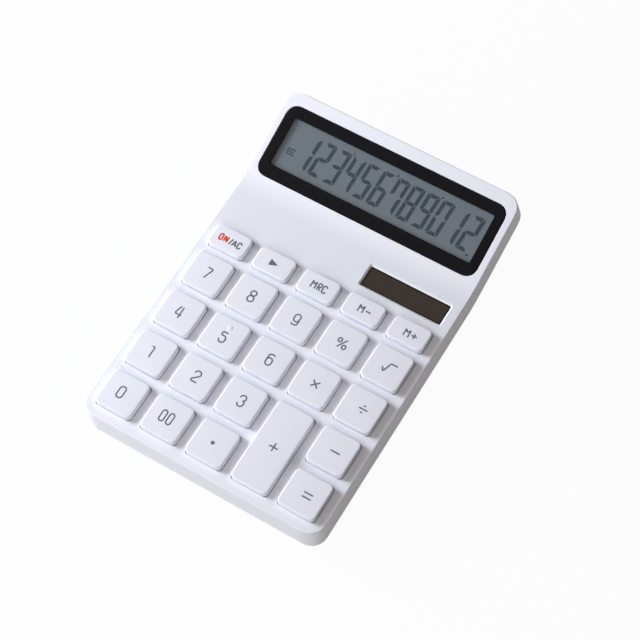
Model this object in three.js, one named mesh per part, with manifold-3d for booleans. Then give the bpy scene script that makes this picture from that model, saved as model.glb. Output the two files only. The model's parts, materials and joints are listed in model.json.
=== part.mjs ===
// Desktop calculator: a bent white slab on a wedge-shaped base, with 24 sprung keys, a twelve-digit
// display that tilts up behind them, a solar cell and a battery box.
//
// Three frames are used, all in millimetres with +Z up and away from the user.
//   table    the origin is the middle of the footprint, at table height
//   deck     starts at the front top edge of the slab; y runs up the keyboard, z is its normal
//   display  starts where the two flats would meet; y runs up the display, z is its normal
// A depth is measured down from the deck or the display surface, so it is minus z there.

import * as THREE from 'three';
import { mergeVertices } from 'three/addons/utils/BufferGeometryUtils.js';
import Module from 'manifold-3d';

const wasm = await Module();
wasm.setup();

// Driving sizes: keyboard
const COLUMNS = 5;
const KEY_ROWS = 4;
const KEY_SIZE = 17.8;
const KEY_GAP_ACROSS = 4.9;
const KEY_GAP_ALONG = 4.5;
const SMALL_KEY_LENGTH = 11.2;
const SMALL_KEY_GAP = 4.1;
const KEY_HEIGHT = 2.9;
const KEY_CORNER = 2.2;
const KEY_EDGE = 0.9;
const KEY_WALL = 1.3;
const KEY_ROOF = 1.5;
const KEY_CLEARANCE = 0.35;
const KEY_OPENING_CORNER = 1.8;
const KEY_FLANGE_REACH = 0.8;
const KEY_FLANGE_THICKNESS = 1;
const PLUNGER_RADIUS = 2.2;
const PLUNGER_DEPTH = 6;
const NIB_RADIUS = 1;
const NIB_HEIGHT = 0.35;
const NIB_OFFSET = 4.5;

// Driving sizes: slab
const SIDE_MARGIN = 4.95;
const FRONT_MARGIN = 5.2;
const SIDE_DEPTH = 14.6;
const SIDE_WALL = 2;
const DECK_THICKNESS = 2.4;
const SLAB_CORNER = 7.5;
const BEND_RADIUS = 30;
const BEND_SETBACK = 8.9;
const DECK_SLOPE_DEGREES = 3.9;
const DISPLAY_TILT_DEGREES = 17.8;
const SLAB_CLEARANCE = 1;
const FIT = 0.3;

// Driving sizes: solar cell
const SOLAR_SETBACK = 5.6;
const SOLAR_LENGTH = 10.6;
const SOLAR_SINK = 0.7;
const SOLAR_BEVEL = 0.6;
const SOLAR_OVERLAP = 1.6;
const SOLAR_THICKNESS = 1.1;

// Driving sizes: display
const BEZEL_SIDE_MARGIN = 3.6;
const BEZEL_FRONT_MARGIN = 6.1;
const BEZEL_BACK_MARGIN = 6.3;
const BEZEL_LENGTH = 35.2;
const BEZEL_CORNER = 5.1;
const BEZEL_FACE = 0.6;
const BEZEL_FLANGE_REACH = 0.9;
const BEZEL_FLANGE_THICKNESS = 1;
const BEZEL_WALL = 1.9;
const FRAME_SIDE = 4.4;
const FRAME_FRONT = 6;
const FRAME_BACK = 5.4;
const WINDOW_CORNER = 0.9;
const GLASS_GAP = 0.2;
const LENS_THICKNESS = 0.6;
const LCD_THICKNESS = 2;
const HOLDER_THICKNESS = 1.2;
const HOLDER_BAR = 8;
const HOLDER_SIDE_GAP = 2;
const HOLDER_SCREW_OFFSET = 2;
const HOLDER_SCREW_INSET = 13;
const HOLDER_STUB_RADIUS = 2.2;
const HOLDER_TAIL = 2.6;

// Driving sizes: keypad and board
const KEYPAD_THICKNESS = 1;
const KEYPAD_MARGIN = 4.6;
const DOME_BASE_RADIUS = 4.2;
const DOME_TOP_RADIUS = 2.7;
const DOME_WALL = 0.8;
const DOME_DEPTH = 6.3;
const KEYPAD_DEPTH = 9.4;
const BOARD_THICKNESS = 1.6;
const BOARD_MARGIN = 3.7;
const BOARD_CORNER = 3;
const BOARD_TAIL = 12.8;
const CHIP_RADIUS = 7;
const CHIP_HEIGHT = 1.8;
const CABLE_WIDTH = 60;
const CABLE_THICKNESS = 0.3;
const CABLE_LAP = 6;
const CABLE_SWING = 6;

// Driving sizes: base
const PLATE_THICKNESS = 2;
const TUB_INSET = 7;
const TUB_BACK_INSET = 12;
const TUB_CORNER = 5;
const TUB_CLEARANCE = 1.2;
const TUB_WALL = 2;
const FOOT_RADIUS = 5;
const FOOT_SEAT = 0.6;
const FOOT_INSET_ACROSS = 10;
const FOOT_INSET_FRONT = 11;
const FOOT_INSET_BACK = 9;
const FOOT_SEAT_MARGIN = 0.4;

// Driving sizes: screws
const POST_RADIUS = 2.5;
const BACK_POST_SETBACK = 2.5;
const POST_HOLE_CLEARANCE = 0.4;
const TOWER_WALL = 1.3;
const TOWER_FLOOR = 1.3;
const SCREW_HEAD_RADIUS = 2.4;
const SCREW_HEAD_HEIGHT = 1.5;
const SCREW_SHANK_RADIUS = 0.9;
const SCREW_LENGTH = 8;
const SMALL_SCREW_HEAD_RADIUS = 1.8;
const SMALL_SCREW_HEAD_HEIGHT = 1.1;
const SMALL_SCREW_SHANK_RADIUS = 0.6;
const SMALL_SCREW_LENGTH = 3.2;

// Driving sizes: battery box
const BATTERY_RADIUS = 5.2;
const BATTERY_LENGTH = 44.5;
const BATTERY_NUB_RADIUS = 1.9;
const BATTERY_NUB_LENGTH = 1;
const BATTERY_WALL = 1.2;
const BATTERY_SET_BACK = 15.8;
const SPRING_LENGTH = 4.6;
const SPRING_BASE_RADIUS = 3.4;
const SPRING_TIP_RADIUS = 2.2;
const SPRING_WIRE_RADIUS = 0.35;
const SPRING_TURNS = 3;
const CONTACT_THICKNESS = 0.4;
const CONTACT_WIDTH = 8.6;
const CONTACT_TAIL_WIDTH = 3;
const CONTACT_TAIL_RISE = 1.6;
const DOOR_LENGTH = 30;
const DOOR_SIDE_MARGIN = 2.5;
const DOOR_SKIN = 1.2;
const DOOR_TONGUE = 0.8;
const DOOR_TONGUE_REACH = 1;
const DOOR_ROOF = 1.5;

// Driving sizes: leads
const LEAD_RADIUS = 0.6;
const LEAD_SAG = 5;
const LEAD_INSET = 4;

// Steps of round shapes
const CORNER_STEPS = 3;
const KEY_CORNER_STEPS = 2;
const BEND_STEPS = 5;
const ROUND_STEPS = 14;
const DOME_STEPS = 8;
const LEAD_SIDES = 6;
const LEAD_STEPS = 10;
const COIL_STEPS = 30;
const COIL_SIDES = 5;
const HALF_ROUND = Math.SQRT1_2;

// Cuts run past the surface that they open by this much.
const OVERRUN = 1;
const MERGE_DISTANCE = 0.0001;

// Sizes that follow from the driving sizes
const SLOPE = THREE.MathUtils.degToRad(DECK_SLOPE_DEGREES);
const TILT = THREE.MathUtils.degToRad(DISPLAY_TILT_DEGREES);
const KEY_PITCH_ACROSS = KEY_SIZE + KEY_GAP_ACROSS;
const KEY_PITCH_ALONG = KEY_SIZE + KEY_GAP_ALONG;
const KEYS_WIDTH = KEY_SIZE + (COLUMNS - 1) * KEY_PITCH_ACROSS;
const SLAB_WIDTH = KEYS_WIDTH + 2 * SIDE_MARGIN;
const SMALL_ROW_START = FRONT_MARGIN + KEY_SIZE + (KEY_ROWS - 1) * KEY_PITCH_ALONG + SMALL_KEY_GAP;
const KEYS_END = SMALL_ROW_START + SMALL_KEY_LENGTH;
const SOLAR_START = KEYS_END + SOLAR_SETBACK;
const SOLAR_WIDTH = KEY_SIZE + KEY_PITCH_ACROSS;
const SOLAR_X = (KEYS_WIDTH - SOLAR_WIDTH) / 2;
const SOLAR_Y = SOLAR_START + SOLAR_LENGTH / 2;
const DECK_LENGTH = SOLAR_START + SOLAR_LENGTH + BEND_SETBACK;
const DISPLAY_LENGTH = BEZEL_FRONT_MARGIN + BEZEL_LENGTH + BEZEL_BACK_MARGIN;
const FOOTPRINT_LENGTH = DECK_LENGTH * Math.cos(SLOPE) + DISPLAY_LENGTH * Math.cos(SLOPE + TILT)
  + SIDE_DEPTH * Math.sin(SLOPE + TILT);
const FRONT_EDGE_Y = -FOOTPRINT_LENGTH / 2;
const FRONT_EDGE_Z = SLAB_CLEARANCE + SIDE_DEPTH * Math.cos(SLOPE);
const PLATE_DEPTH = SIDE_DEPTH - PLATE_THICKNESS;
const FLANGE_TOP_DEPTH = DECK_THICKNESS + FIT;
const FLANGE_BOTTOM_DEPTH = FLANGE_TOP_DEPTH + KEY_FLANGE_THICKNESS;
const KEYPAD_BOTTOM_DEPTH = KEYPAD_DEPTH + KEYPAD_THICKNESS;
const BOARD_TOP_DEPTH = KEYPAD_BOTTOM_DEPTH + FIT;
const BOARD_BOTTOM_DEPTH = BOARD_TOP_DEPTH + BOARD_THICKNESS;
const BOARD_END = KEYS_END + BOARD_TAIL;
const SMALL_ROW_Y = SMALL_ROW_START + SMALL_KEY_LENGTH / 2;

const LENS_TOP_DEPTH = BEZEL_FACE + GLASS_GAP;
const LCD_TOP_DEPTH = LENS_TOP_DEPTH + LENS_THICKNESS + GLASS_GAP;
const BEZEL_DEPTH = LCD_TOP_DEPTH + LCD_THICKNESS;
const BEZEL_WIDTH = SLAB_WIDTH - 2 * BEZEL_SIDE_MARGIN;
const BEZEL_Y = BEZEL_FRONT_MARGIN + BEZEL_LENGTH / 2;
const WINDOW_WIDTH = BEZEL_WIDTH - 2 * FRAME_SIDE;
const WINDOW_LENGTH = BEZEL_LENGTH - FRAME_FRONT - FRAME_BACK;
const WINDOW_Y = BEZEL_FRONT_MARGIN + FRAME_FRONT + WINDOW_LENGTH / 2;
const POCKET_WIDTH = BEZEL_WIDTH - 2 * BEZEL_WALL;
const POCKET_LENGTH = BEZEL_LENGTH - 2 * BEZEL_WALL;
const HOLDER_TOP_DEPTH = BEZEL_DEPTH + FIT;
const HOLDER_BOTTOM_DEPTH = HOLDER_TOP_DEPTH + HOLDER_THICKNESS;

const TUB_FLOOR_Z = TUB_CLEARANCE + TUB_WALL;
const TUB_WIDTH = SLAB_WIDTH - 2 * TUB_INSET;
const TUB_START_Y = FRONT_EDGE_Y + TUB_INSET;
const TUB_END_Y = -FRONT_EDGE_Y - TUB_BACK_INSET;
const TUB_LENGTH = TUB_END_Y - TUB_START_Y;
const TUB_Y = (TUB_START_Y + TUB_END_Y) / 2;

const DOOR_TONGUE_Z = TUB_CLEARANCE + DOOR_SKIN;
const DOOR_TOP_Z = DOOR_TONGUE_Z + DOOR_TONGUE;
const DOOR_CEILING_Z = DOOR_TOP_Z + FIT;
const DOOR_START_Y = TUB_END_Y - DOOR_LENGTH;
const BATTERY_Y = TUB_END_Y - BATTERY_SET_BACK;
const BATTERY_Z = DOOR_TOP_Z + FIT + BATTERY_RADIUS;
const BOX_LENGTH = BATTERY_LENGTH + SPRING_LENGTH + 2 * CONTACT_THICKNESS + 4 * FIT;
const BOX_WIDTH = 2 * (BATTERY_RADIUS + FIT);
const DOOR_WIDTH = BOX_LENGTH + 2 * DOOR_SIDE_MARGIN;
const BOX_TOP_Z = BATTERY_Z + BATTERY_RADIUS + FIT;
const PLUS_X = BOX_LENGTH / 2 - FIT - CONTACT_THICKNESS / 2;
const MINUS_X = -PLUS_X;
const BATTERY_TIP_X = PLUS_X - CONTACT_THICKNESS / 2 - FIT;
const CONTACT_BOTTOM_Z = DOOR_TOP_Z + FIT;
const CONTACT_TOP_Z = BOX_TOP_Z - FIT;
const CONTACT_TAIL_Z = BOX_TOP_Z + BATTERY_WALL + CONTACT_TAIL_RISE;

// Materials
function plastic(color, roughness) {
  return new THREE.MeshStandardMaterial({ color, roughness, metalness: 0 });
}
function metal(color, roughness) {
  return new THREE.MeshStandardMaterial({ color, roughness, metalness: 1 });
}
const WHITE_CASE = plastic(0xe6e9f2, 0.45);
const WHITE_KEY = plastic(0xe9ecf5, 0.4);
const BLACK_FRAME = plastic(0x1a1a1d, 0.35);
const CLEAR_SHEET = new THREE.MeshStandardMaterial({
  color: 0xffffff, roughness: 0.05, metalness: 0, transparent: true, opacity: 0.25,
});
const LCD_GLASS = plastic(0x6c757a, 0.2);
const SOLAR_GLASS = plastic(0x3c322b, 0.2);
const INNER_PLASTIC = plastic(0xc9ccd0, 0.6);
const GREY_RUBBER = plastic(0x9a9da3, 0.85);
const DARK_RUBBER = plastic(0x3a3a3d, 0.9);
const BOARD_GREEN = plastic(0x2f6b45, 0.5);
const RESIN = plastic(0x151517, 0.3);
const CABLE_FILM = plastic(0xb98a3c, 0.4);
const RED_LEAD = plastic(0xb3261e, 0.5);
const BLACK_LEAD = plastic(0x1c1c1e, 0.5);
const BATTERY_SKIN = plastic(0x6b7076, 0.4);
const STEEL = metal(0xb9bcc0, 0.35);

// Geometry helpers

// Points of a rounded rectangle, counter-clockwise, each corner an arc in equal turns.
function roundedRectangle(width, length, radius, steps = CORNER_STEPS) {
  const corners = [[1, -1, -90], [1, 1, 0], [-1, 1, 90], [-1, -1, 180]];
  const points = [];
  for (const [sideX, sideY, startDegrees] of corners) {
    for (let i = 0; i <= steps; i += 1) {
      const angle = THREE.MathUtils.degToRad(startDegrees + (90 * i) / steps);
      points.push(new THREE.Vector2(
        sideX * (width / 2 - radius) + radius * Math.cos(angle),
        sideY * (length / 2 - radius) + radius * Math.sin(angle),
      ));
    }
  }
  return points;
}

function circle(radius, steps = ROUND_STEPS) {
  return Array.from({ length: steps }, (_, i) => {
    const angle = (2 * Math.PI * i) / steps;
    return new THREE.Vector2(radius * Math.cos(angle), radius * Math.sin(angle));
  });
}

// Closed surface through rings of equal point counts, bottom ring first, with a flat cap at each end.
// The rings are convex, so each cap is a fan.
function loft(rings) {
  const count = rings[0].outline.length;
  const positions = [];
  const index = [];
  for (const { outline, z } of rings) {
    for (const point of outline) positions.push(point.x, point.y, z);
  }
  for (let level = 0; level < rings.length - 1; level += 1) {
    for (let i = 0; i < count; i += 1) {
      const next = (i + 1) % count;
      const low = level * count;
      const high = low + count;
      index.push(low + i, low + next, high + next);
      index.push(low + i, high + next, high + i);
    }
  }
  const last = (rings.length - 1) * count;
  for (let i = 1; i < count - 1; i += 1) {
    index.push(0, i + 1, i);
    index.push(last, last + i, last + i + 1);
  }
  const geometry = new THREE.BufferGeometry();
  geometry.setAttribute('position', new THREE.Float32BufferAttribute(positions, 3));
  geometry.setIndex(index);
  return geometry;
}

function prism(outline, bottom, top) {
  return loft([{ outline, z: bottom }, { outline, z: top }]);
}

// A side view drawn in the y-z plane, made as wide as the given width along x.
function widen(sideView, width) {
  const shape = new THREE.Shape(sideView);
  const geometry = new THREE.ExtrudeGeometry(shape, { depth: width, bevelEnabled: false });
  geometry.applyMatrix4(new THREE.Matrix4().makeBasis(
    new THREE.Vector3(0, 1, 0),
    new THREE.Vector3(0, 0, 1),
    new THREE.Vector3(1, 0, 0),
  ));
  return geometry.translate(-width / 2, 0, 0);
}

function box(sizeX, sizeY, sizeZ, x, y, z) {
  return new THREE.BoxGeometry(sizeX, sizeY, sizeZ).translate(x, y, z);
}

// A box given by its two ends along each axis.
function span(x0, x1, y0, y1, z0, z1) {
  return box(x1 - x0, y1 - y0, z1 - z0, (x0 + x1) / 2, (y0 + y1) / 2, (z0 + z1) / 2);
}

// A round solid about the z axis from points of radius and height, bottom first.
function turned(profile, steps = ROUND_STEPS) {
  const points = profile.map(([radius, z]) => new THREE.Vector2(radius, z));
  return new THREE.LatheGeometry(points, steps).rotateX(Math.PI / 2);
}

// A round tube of even thickness along a curve.
function tube(curve, radius, steps, sides) {
  const section = new THREE.Shape(circle(radius, sides));
  return new THREE.ExtrudeGeometry(section, { steps, extrudePath: curve, bevelEnabled: false });
}

function toSolid(geometry) {
  const bare = geometry.clone();
  bare.deleteAttribute('normal');
  bare.deleteAttribute('uv');
  const merged = mergeVertices(bare, MERGE_DISTANCE);
  return new wasm.Manifold(new wasm.Mesh({
    numProp: 3,
    vertProperties: new Float32Array(merged.attributes.position.array),
    triVerts: new Uint32Array(merged.index.array),
  }));
}

function toGeometry(solid) {
  const mesh = solid.getMesh();
  const geometry = new THREE.BufferGeometry();
  geometry.setAttribute('position', new THREE.BufferAttribute(mesh.vertProperties, 3));
  geometry.setIndex(new THREE.BufferAttribute(mesh.triVerts, 1));
  return geometry;
}

function join(...geometries) {
  return geometries.map(toSolid).reduce((sum, solid) => sum.add(solid));
}

function cut(solid, geometries) {
  return geometries.map(toSolid).reduce((rest, solidCut) => rest.subtract(solidCut), solid);
}

// Frames: the deck in the table frame, and the display in the deck frame.
const deckGroup = new THREE.Group();
deckGroup.position.set(0, FRONT_EDGE_Y, FRONT_EDGE_Z);
deckGroup.rotation.x = SLOPE;
deckGroup.updateMatrix();
const displayGroup = new THREE.Group();
displayGroup.position.set(0, DECK_LENGTH, 0);
displayGroup.rotation.x = TILT;
displayGroup.updateMatrix();
deckGroup.add(displayGroup);
const calculator = new THREE.Group();
calculator.add(deckGroup);

function fromDeck(geometry) {
  return geometry.applyMatrix4(deckGroup.matrix);
}
function fromDisplay(geometry) {
  return geometry.applyMatrix4(displayGroup.matrix);
}

function addPart(parent, name, geometry, material) {
  const flat = geometry.index ? geometry.toNonIndexed() : geometry.clone();
  flat.computeVertexNormals();
  const mesh = new THREE.Mesh(flat, material.clone());
  mesh.name = name;
  parent.add(mesh);
  return mesh;
}

// Side view, in the deck frame, of the bent slab between two depths. Both faces of the bend are arcs
// about one centre, so the slab keeps its thickness through it.
function bentSideView(upperDepth, lowerDepth, inset) {
  const bendY = DECK_LENGTH - BEND_RADIUS * Math.tan(TILT / 2);
  const arc = (depth) => Array.from({ length: BEND_STEPS + 1 }, (_, i) => {
    const angle = (TILT * i) / BEND_STEPS;
    const radius = BEND_RADIUS + depth;
    return new THREE.Vector2(bendY + radius * Math.sin(angle), BEND_RADIUS - radius * Math.cos(angle));
  });
  const back = (depth) => {
    const along = DISPLAY_LENGTH - inset;
    return new THREE.Vector2(
      DECK_LENGTH + along * Math.cos(TILT) + depth * Math.sin(TILT),
      along * Math.sin(TILT) - depth * Math.cos(TILT),
    );
  };
  return [
    new THREE.Vector2(inset, -lowerDepth),
    ...arc(lowerDepth),
    back(lowerDepth),
    back(upperDepth),
    ...arc(upperDepth).reverse(),
    new THREE.Vector2(inset, -upperDepth),
  ];
}

// The slab between two depths, inset from its sides, with rounded corners that stand square to the
// deck at the front and square to the display at the back.
function bentSlab(upperDepth, lowerDepth, inset) {
  const width = SLAB_WIDTH - 2 * inset;
  const strip = toSolid(widen(bentSideView(upperDepth, lowerDepth, inset), width));
  const radius = SLAB_CORNER - inset;
  const reach = SLAB_WIDTH;
  const lap = BEND_RADIUS;
  const frontLength = DECK_LENGTH + lap - inset;
  const front = prism(roundedRectangle(width, frontLength, radius), -reach, reach);
  front.translate(0, inset + frontLength / 2, 0);
  const backLength = DISPLAY_LENGTH + lap - inset;
  const back = prism(roundedRectangle(width, backLength, radius), -reach, reach);
  back.translate(0, backLength / 2 - lap, 0);
  return strip.intersect(join(front, fromDisplay(back)));
}

// Keys

// Column 0 is at the left and row 0 at the front. A key spans one or more rows, or lies in the
// shorter row behind them.
function columnX(column) {
  return (column - (COLUMNS - 1) / 2) * KEY_PITCH_ACROSS;
}
function rowY(row) {
  return FRONT_MARGIN + KEY_SIZE / 2 + row * KEY_PITCH_ALONG;
}
function keyInRow(name, column, row, rowCount = 1) {
  return {
    name,
    x: columnX(column),
    y: rowY(row + (rowCount - 1) / 2),
    length: KEY_SIZE + (rowCount - 1) * KEY_PITCH_ALONG,
  };
}
function keyInSmallRow(name, column) {
  return { name, x: columnX(column), y: SMALL_ROW_Y, length: SMALL_KEY_LENGTH };
}
function keysInRow(row, names) {
  return names.map((name, column) => keyInRow(name, column, row));
}
const KEYS = [
  ...keysInRow(0, ['key_0', 'key_00', 'key_point']),
  ...keysInRow(1, ['key_1', 'key_2', 'key_3']),
  ...keysInRow(2, ['key_4', 'key_5', 'key_6', 'key_multiply', 'key_divide']),
  ...keysInRow(3, ['key_7', 'key_8', 'key_9', 'key_percent', 'key_root']),
  keyInRow('key_plus', 3, 0, 2),
  keyInRow('key_equals', 4, 0),
  keyInRow('key_minus', 4, 1),
  ...['key_on_ac', 'key_delete', 'key_mrc', 'key_m_minus', 'key_m_plus'].map(keyInSmallRow),
];

function keyOutline(length, outset) {
  const radius = Math.max(KEY_CORNER + outset, KEY_CORNER / 2);
  return roundedRectangle(KEY_SIZE + 2 * outset, length + 2 * outset, radius, KEY_CORNER_STEPS);
}

// A hollow cap with a retaining flange under the deck and a plunger down to its rubber dome.
// The loft starts at the roof inside the cap, comes down its inner wall and goes up the outside.
function keyCap({ name, length }) {
  const flangeOutset = KEY_CLEARANCE + KEY_FLANGE_REACH;
  const inside = keyOutline(length, -KEY_WALL);
  const flange = keyOutline(length, flangeOutset);
  const side = keyOutline(length, 0);
  const roofZ = KEY_HEIGHT - KEY_ROOF;
  const edgeZ = KEY_HEIGHT - KEY_EDGE;
  const shell = loft([
    { outline: inside, z: roofZ },
    { outline: inside, z: -FLANGE_BOTTOM_DEPTH },
    { outline: flange, z: -FLANGE_BOTTOM_DEPTH },
    { outline: flange, z: -FLANGE_TOP_DEPTH },
    { outline: side, z: -FLANGE_TOP_DEPTH },
    { outline: side, z: edgeZ },
    { outline: keyOutline(length, KEY_EDGE * (HALF_ROUND - 1)), z: edgeZ + KEY_EDGE * HALF_ROUND },
    { outline: keyOutline(length, -KEY_EDGE), z: KEY_HEIGHT },
  ]);
  const plunger = prism(circle(PLUNGER_RADIUS, DOME_STEPS), -PLUNGER_DEPTH, roofZ + KEY_ROOF / 2);
  let cap = join(shell, plunger);
  if (name === 'key_5') {
    const nib = turned([
      [0, KEY_HEIGHT - KEY_ROOF / 2],
      [NIB_RADIUS, KEY_HEIGHT - KEY_ROOF / 2],
      [NIB_RADIUS, KEY_HEIGHT],
      [NIB_RADIUS * HALF_ROUND, KEY_HEIGHT + NIB_HEIGHT * HALF_ROUND],
      [0, KEY_HEIGHT + NIB_HEIGHT],
    ], DOME_STEPS);
    cap = cap.add(toSolid(nib.translate(0, NIB_OFFSET, 0)));
  }
  return toGeometry(cap);
}

function addKeys() {
  for (const key of KEYS) {
    const mesh = addPart(deckGroup, key.name, keyCap(key), WHITE_KEY);
    mesh.position.set(key.x, key.y, 0);
  }
}

// Case screws stand in the spaces where four keys meet, and behind the solar cell.
function postBetweenKeys(name, column, row) {
  return { name, x: columnX(column) + KEY_PITCH_ACROSS / 2, y: rowY(row) + KEY_PITCH_ALONG / 2 };
}
const POSTS = [
  postBetweenKeys('case_screw_front_left', 0, 0),
  postBetweenKeys('case_screw_middle_right', 3, 1),
  postBetweenKeys('case_screw_middle_left', 0, 2),
  { name: 'case_screw_back_left', x: columnX(0), y: DECK_LENGTH - BACK_POST_SETBACK },
  { name: 'case_screw_back_right', x: columnX(4), y: DECK_LENGTH - BACK_POST_SETBACK },
];
const POST_END_DEPTH = PLATE_DEPTH - FIT;
const TOWER_RADIUS = SCREW_HEAD_RADIUS + FIT + TOWER_WALL;
const TOWER_FLOOR_DEPTH = PLATE_DEPTH + TOWER_FLOOR;

const HOLDER_SCREWS = [
  { name: 'holder_screw_left', x: -(BEZEL_WIDTH / 2 - HOLDER_SCREW_INSET), y: HOLDER_SCREW_OFFSET },
  { name: 'holder_screw_right', x: BEZEL_WIDTH / 2 - HOLDER_SCREW_INSET, y: HOLDER_SCREW_OFFSET },
];

function postsThrough(radius, bottom, top) {
  return POSTS.map(({ x, y }) => prism(circle(radius), bottom, top).translate(x, y, 0));
}

// Upper case

function upperCase() {
  const inside = bentSlab(DECK_THICKNESS, SIDE_DEPTH + OVERRUN, SIDE_WALL);
  const shell = bentSlab(0, SIDE_DEPTH, 0).subtract(inside);
  const posts = join(...postsThrough(POST_RADIUS, -POST_END_DEPTH, -DECK_THICKNESS / 2));
  const stubs = HOLDER_SCREWS.map(({ x, y }) => fromDisplay(
    prism(circle(HOLDER_STUB_RADIUS), -BEZEL_DEPTH, -DECK_THICKNESS / 2).translate(x, y, 0),
  ));
  const keyOpenings = KEYS.map(({ x, y, length }) => prism(roundedRectangle(
    KEY_SIZE + 2 * KEY_CLEARANCE,
    length + 2 * KEY_CLEARANCE,
    KEY_OPENING_CORNER,
    KEY_CORNER_STEPS,
  ), -DECK_THICKNESS - OVERRUN, OVERRUN).translate(x, y, 0));
  const screwHoles = postsThrough(
    SCREW_SHANK_RADIUS + FIT,
    -POST_END_DEPTH - OVERRUN,
    SCREW_LENGTH + FIT - TOWER_FLOOR_DEPTH,
  );
  const stubHoles = HOLDER_SCREWS.map(({ x, y }) => fromDisplay(prism(
    circle(SMALL_SCREW_SHANK_RADIUS + FIT, DOME_STEPS),
    -BEZEL_DEPTH - OVERRUN,
    SMALL_SCREW_LENGTH + 2 * FIT - HOLDER_BOTTOM_DEPTH,
  ).translate(x, y, 0)));
  return toGeometry(cut(shell.add(posts).add(join(...stubs)), [
    ...keyOpenings,
    ...screwHoles,
    ...stubHoles,
    ...solarOpening(),
    bezelOpening(),
  ]));
}

// The solar window is bevelled at the deck, and a pocket from below leaves a thin lip over the cell.
function solarOpening() {
  const window = roundedRectangle(SOLAR_WIDTH, SOLAR_LENGTH, SOLAR_BEVEL);
  const flare = roundedRectangle(
    SOLAR_WIDTH + 2 * SOLAR_BEVEL,
    SOLAR_LENGTH + 2 * SOLAR_BEVEL,
    2 * SOLAR_BEVEL,
  );
  const bevel = loft([
    { outline: window, z: -SOLAR_BEVEL },
    { outline: flare, z: 0 },
    { outline: flare, z: OVERRUN },
  ]);
  const through = prism(window, -DECK_THICKNESS - OVERRUN, -SOLAR_BEVEL / 2);
  const pocket = span(
    -SOLAR_WIDTH / 2 - SOLAR_OVERLAP - FIT,
    SOLAR_WIDTH / 2 + SOLAR_OVERLAP + FIT,
    -SOLAR_LENGTH / 2 - SOLAR_OVERLAP - FIT,
    SOLAR_LENGTH / 2 + SOLAR_OVERLAP + FIT,
    -DECK_THICKNESS - OVERRUN,
    -SOLAR_SINK,
  );
  return [bevel, through, pocket].map((geometry) => geometry.translate(SOLAR_X, SOLAR_Y, 0));
}

function bezelOpening() {
  const outline = roundedRectangle(BEZEL_WIDTH + 2 * FIT, BEZEL_LENGTH + 2 * FIT, BEZEL_CORNER + FIT);
  return fromDisplay(prism(outline, -DECK_THICKNESS - OVERRUN, OVERRUN).translate(0, BEZEL_Y, 0));
}

function solarCell() {
  return span(
    SOLAR_X - SOLAR_WIDTH / 2 - SOLAR_OVERLAP,
    SOLAR_X + SOLAR_WIDTH / 2 + SOLAR_OVERLAP,
    SOLAR_Y - SOLAR_LENGTH / 2 - SOLAR_OVERLAP,
    SOLAR_Y + SOLAR_LENGTH / 2 + SOLAR_OVERLAP,
    -SOLAR_SINK - GLASS_GAP - SOLAR_THICKNESS,
    -SOLAR_SINK - GLASS_GAP,
  );
}

// Display

function displayBezel() {
  const outline = roundedRectangle(BEZEL_WIDTH, BEZEL_LENGTH, BEZEL_CORNER);
  const reach = FIT + BEZEL_FLANGE_REACH;
  const flange = roundedRectangle(BEZEL_WIDTH + 2 * reach, BEZEL_LENGTH + 2 * reach, BEZEL_CORNER + reach);
  const frame = join(
    prism(outline, -BEZEL_DEPTH, 0),
    prism(flange, -BEZEL_DEPTH, BEZEL_FLANGE_THICKNESS - BEZEL_DEPTH),
  );
  const pocket = span(
    -POCKET_WIDTH / 2,
    POCKET_WIDTH / 2,
    -POCKET_LENGTH / 2,
    POCKET_LENGTH / 2,
    -BEZEL_DEPTH - OVERRUN,
    -BEZEL_FACE,
  );
  const window = prism(roundedRectangle(WINDOW_WIDTH, WINDOW_LENGTH, WINDOW_CORNER), -BEZEL_DEPTH, OVERRUN);
  window.translate(0, WINDOW_Y - BEZEL_Y, 0);
  return toGeometry(cut(frame, [pocket, window])).translate(0, BEZEL_Y, 0);
}

function pocketSheet(topDepth, thickness) {
  return span(
    FIT - POCKET_WIDTH / 2,
    POCKET_WIDTH / 2 - FIT,
    BEZEL_Y + FIT - POCKET_LENGTH / 2,
    BEZEL_Y + POCKET_LENGTH / 2 - FIT,
    -topDepth - thickness,
    -topDepth,
  );
}

// A plate behind the panel, open in the middle and notched at the front for the flat cable.
function lcdHolder() {
  const halfWidth = SLAB_WIDTH / 2 - SIDE_WALL - HOLDER_SIDE_GAP;
  const start = HOLDER_SCREW_OFFSET - HOLDER_TAIL;
  const end = BEZEL_Y + POCKET_LENGTH / 2 + BEZEL_WALL;
  const plate = toSolid(span(-halfWidth, halfWidth, start, end, -HOLDER_BOTTOM_DEPTH, -HOLDER_TOP_DEPTH));
  const cutBottom = -HOLDER_BOTTOM_DEPTH - OVERRUN;
  const cutTop = OVERRUN - HOLDER_TOP_DEPTH;
  const middle = span(
    HOLDER_BAR - halfWidth,
    halfWidth - HOLDER_BAR,
    start + HOLDER_BAR,
    end - HOLDER_BAR,
    cutBottom,
    cutTop,
  );
  const notchHalf = CABLE_WIDTH / 2 + FIT;
  const notch = span(
    -notchHalf,
    notchHalf,
    start - OVERRUN,
    start + HOLDER_BAR + OVERRUN,
    cutBottom,
    cutTop,
  );
  const holes = HOLDER_SCREWS.map(({ x, y }) => prism(
    circle(SMALL_SCREW_SHANK_RADIUS + FIT, DOME_STEPS),
    cutBottom,
    cutTop,
  ).translate(x, y, 0));
  return toGeometry(cut(plate, [middle, notch, ...holes]));
}

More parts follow.
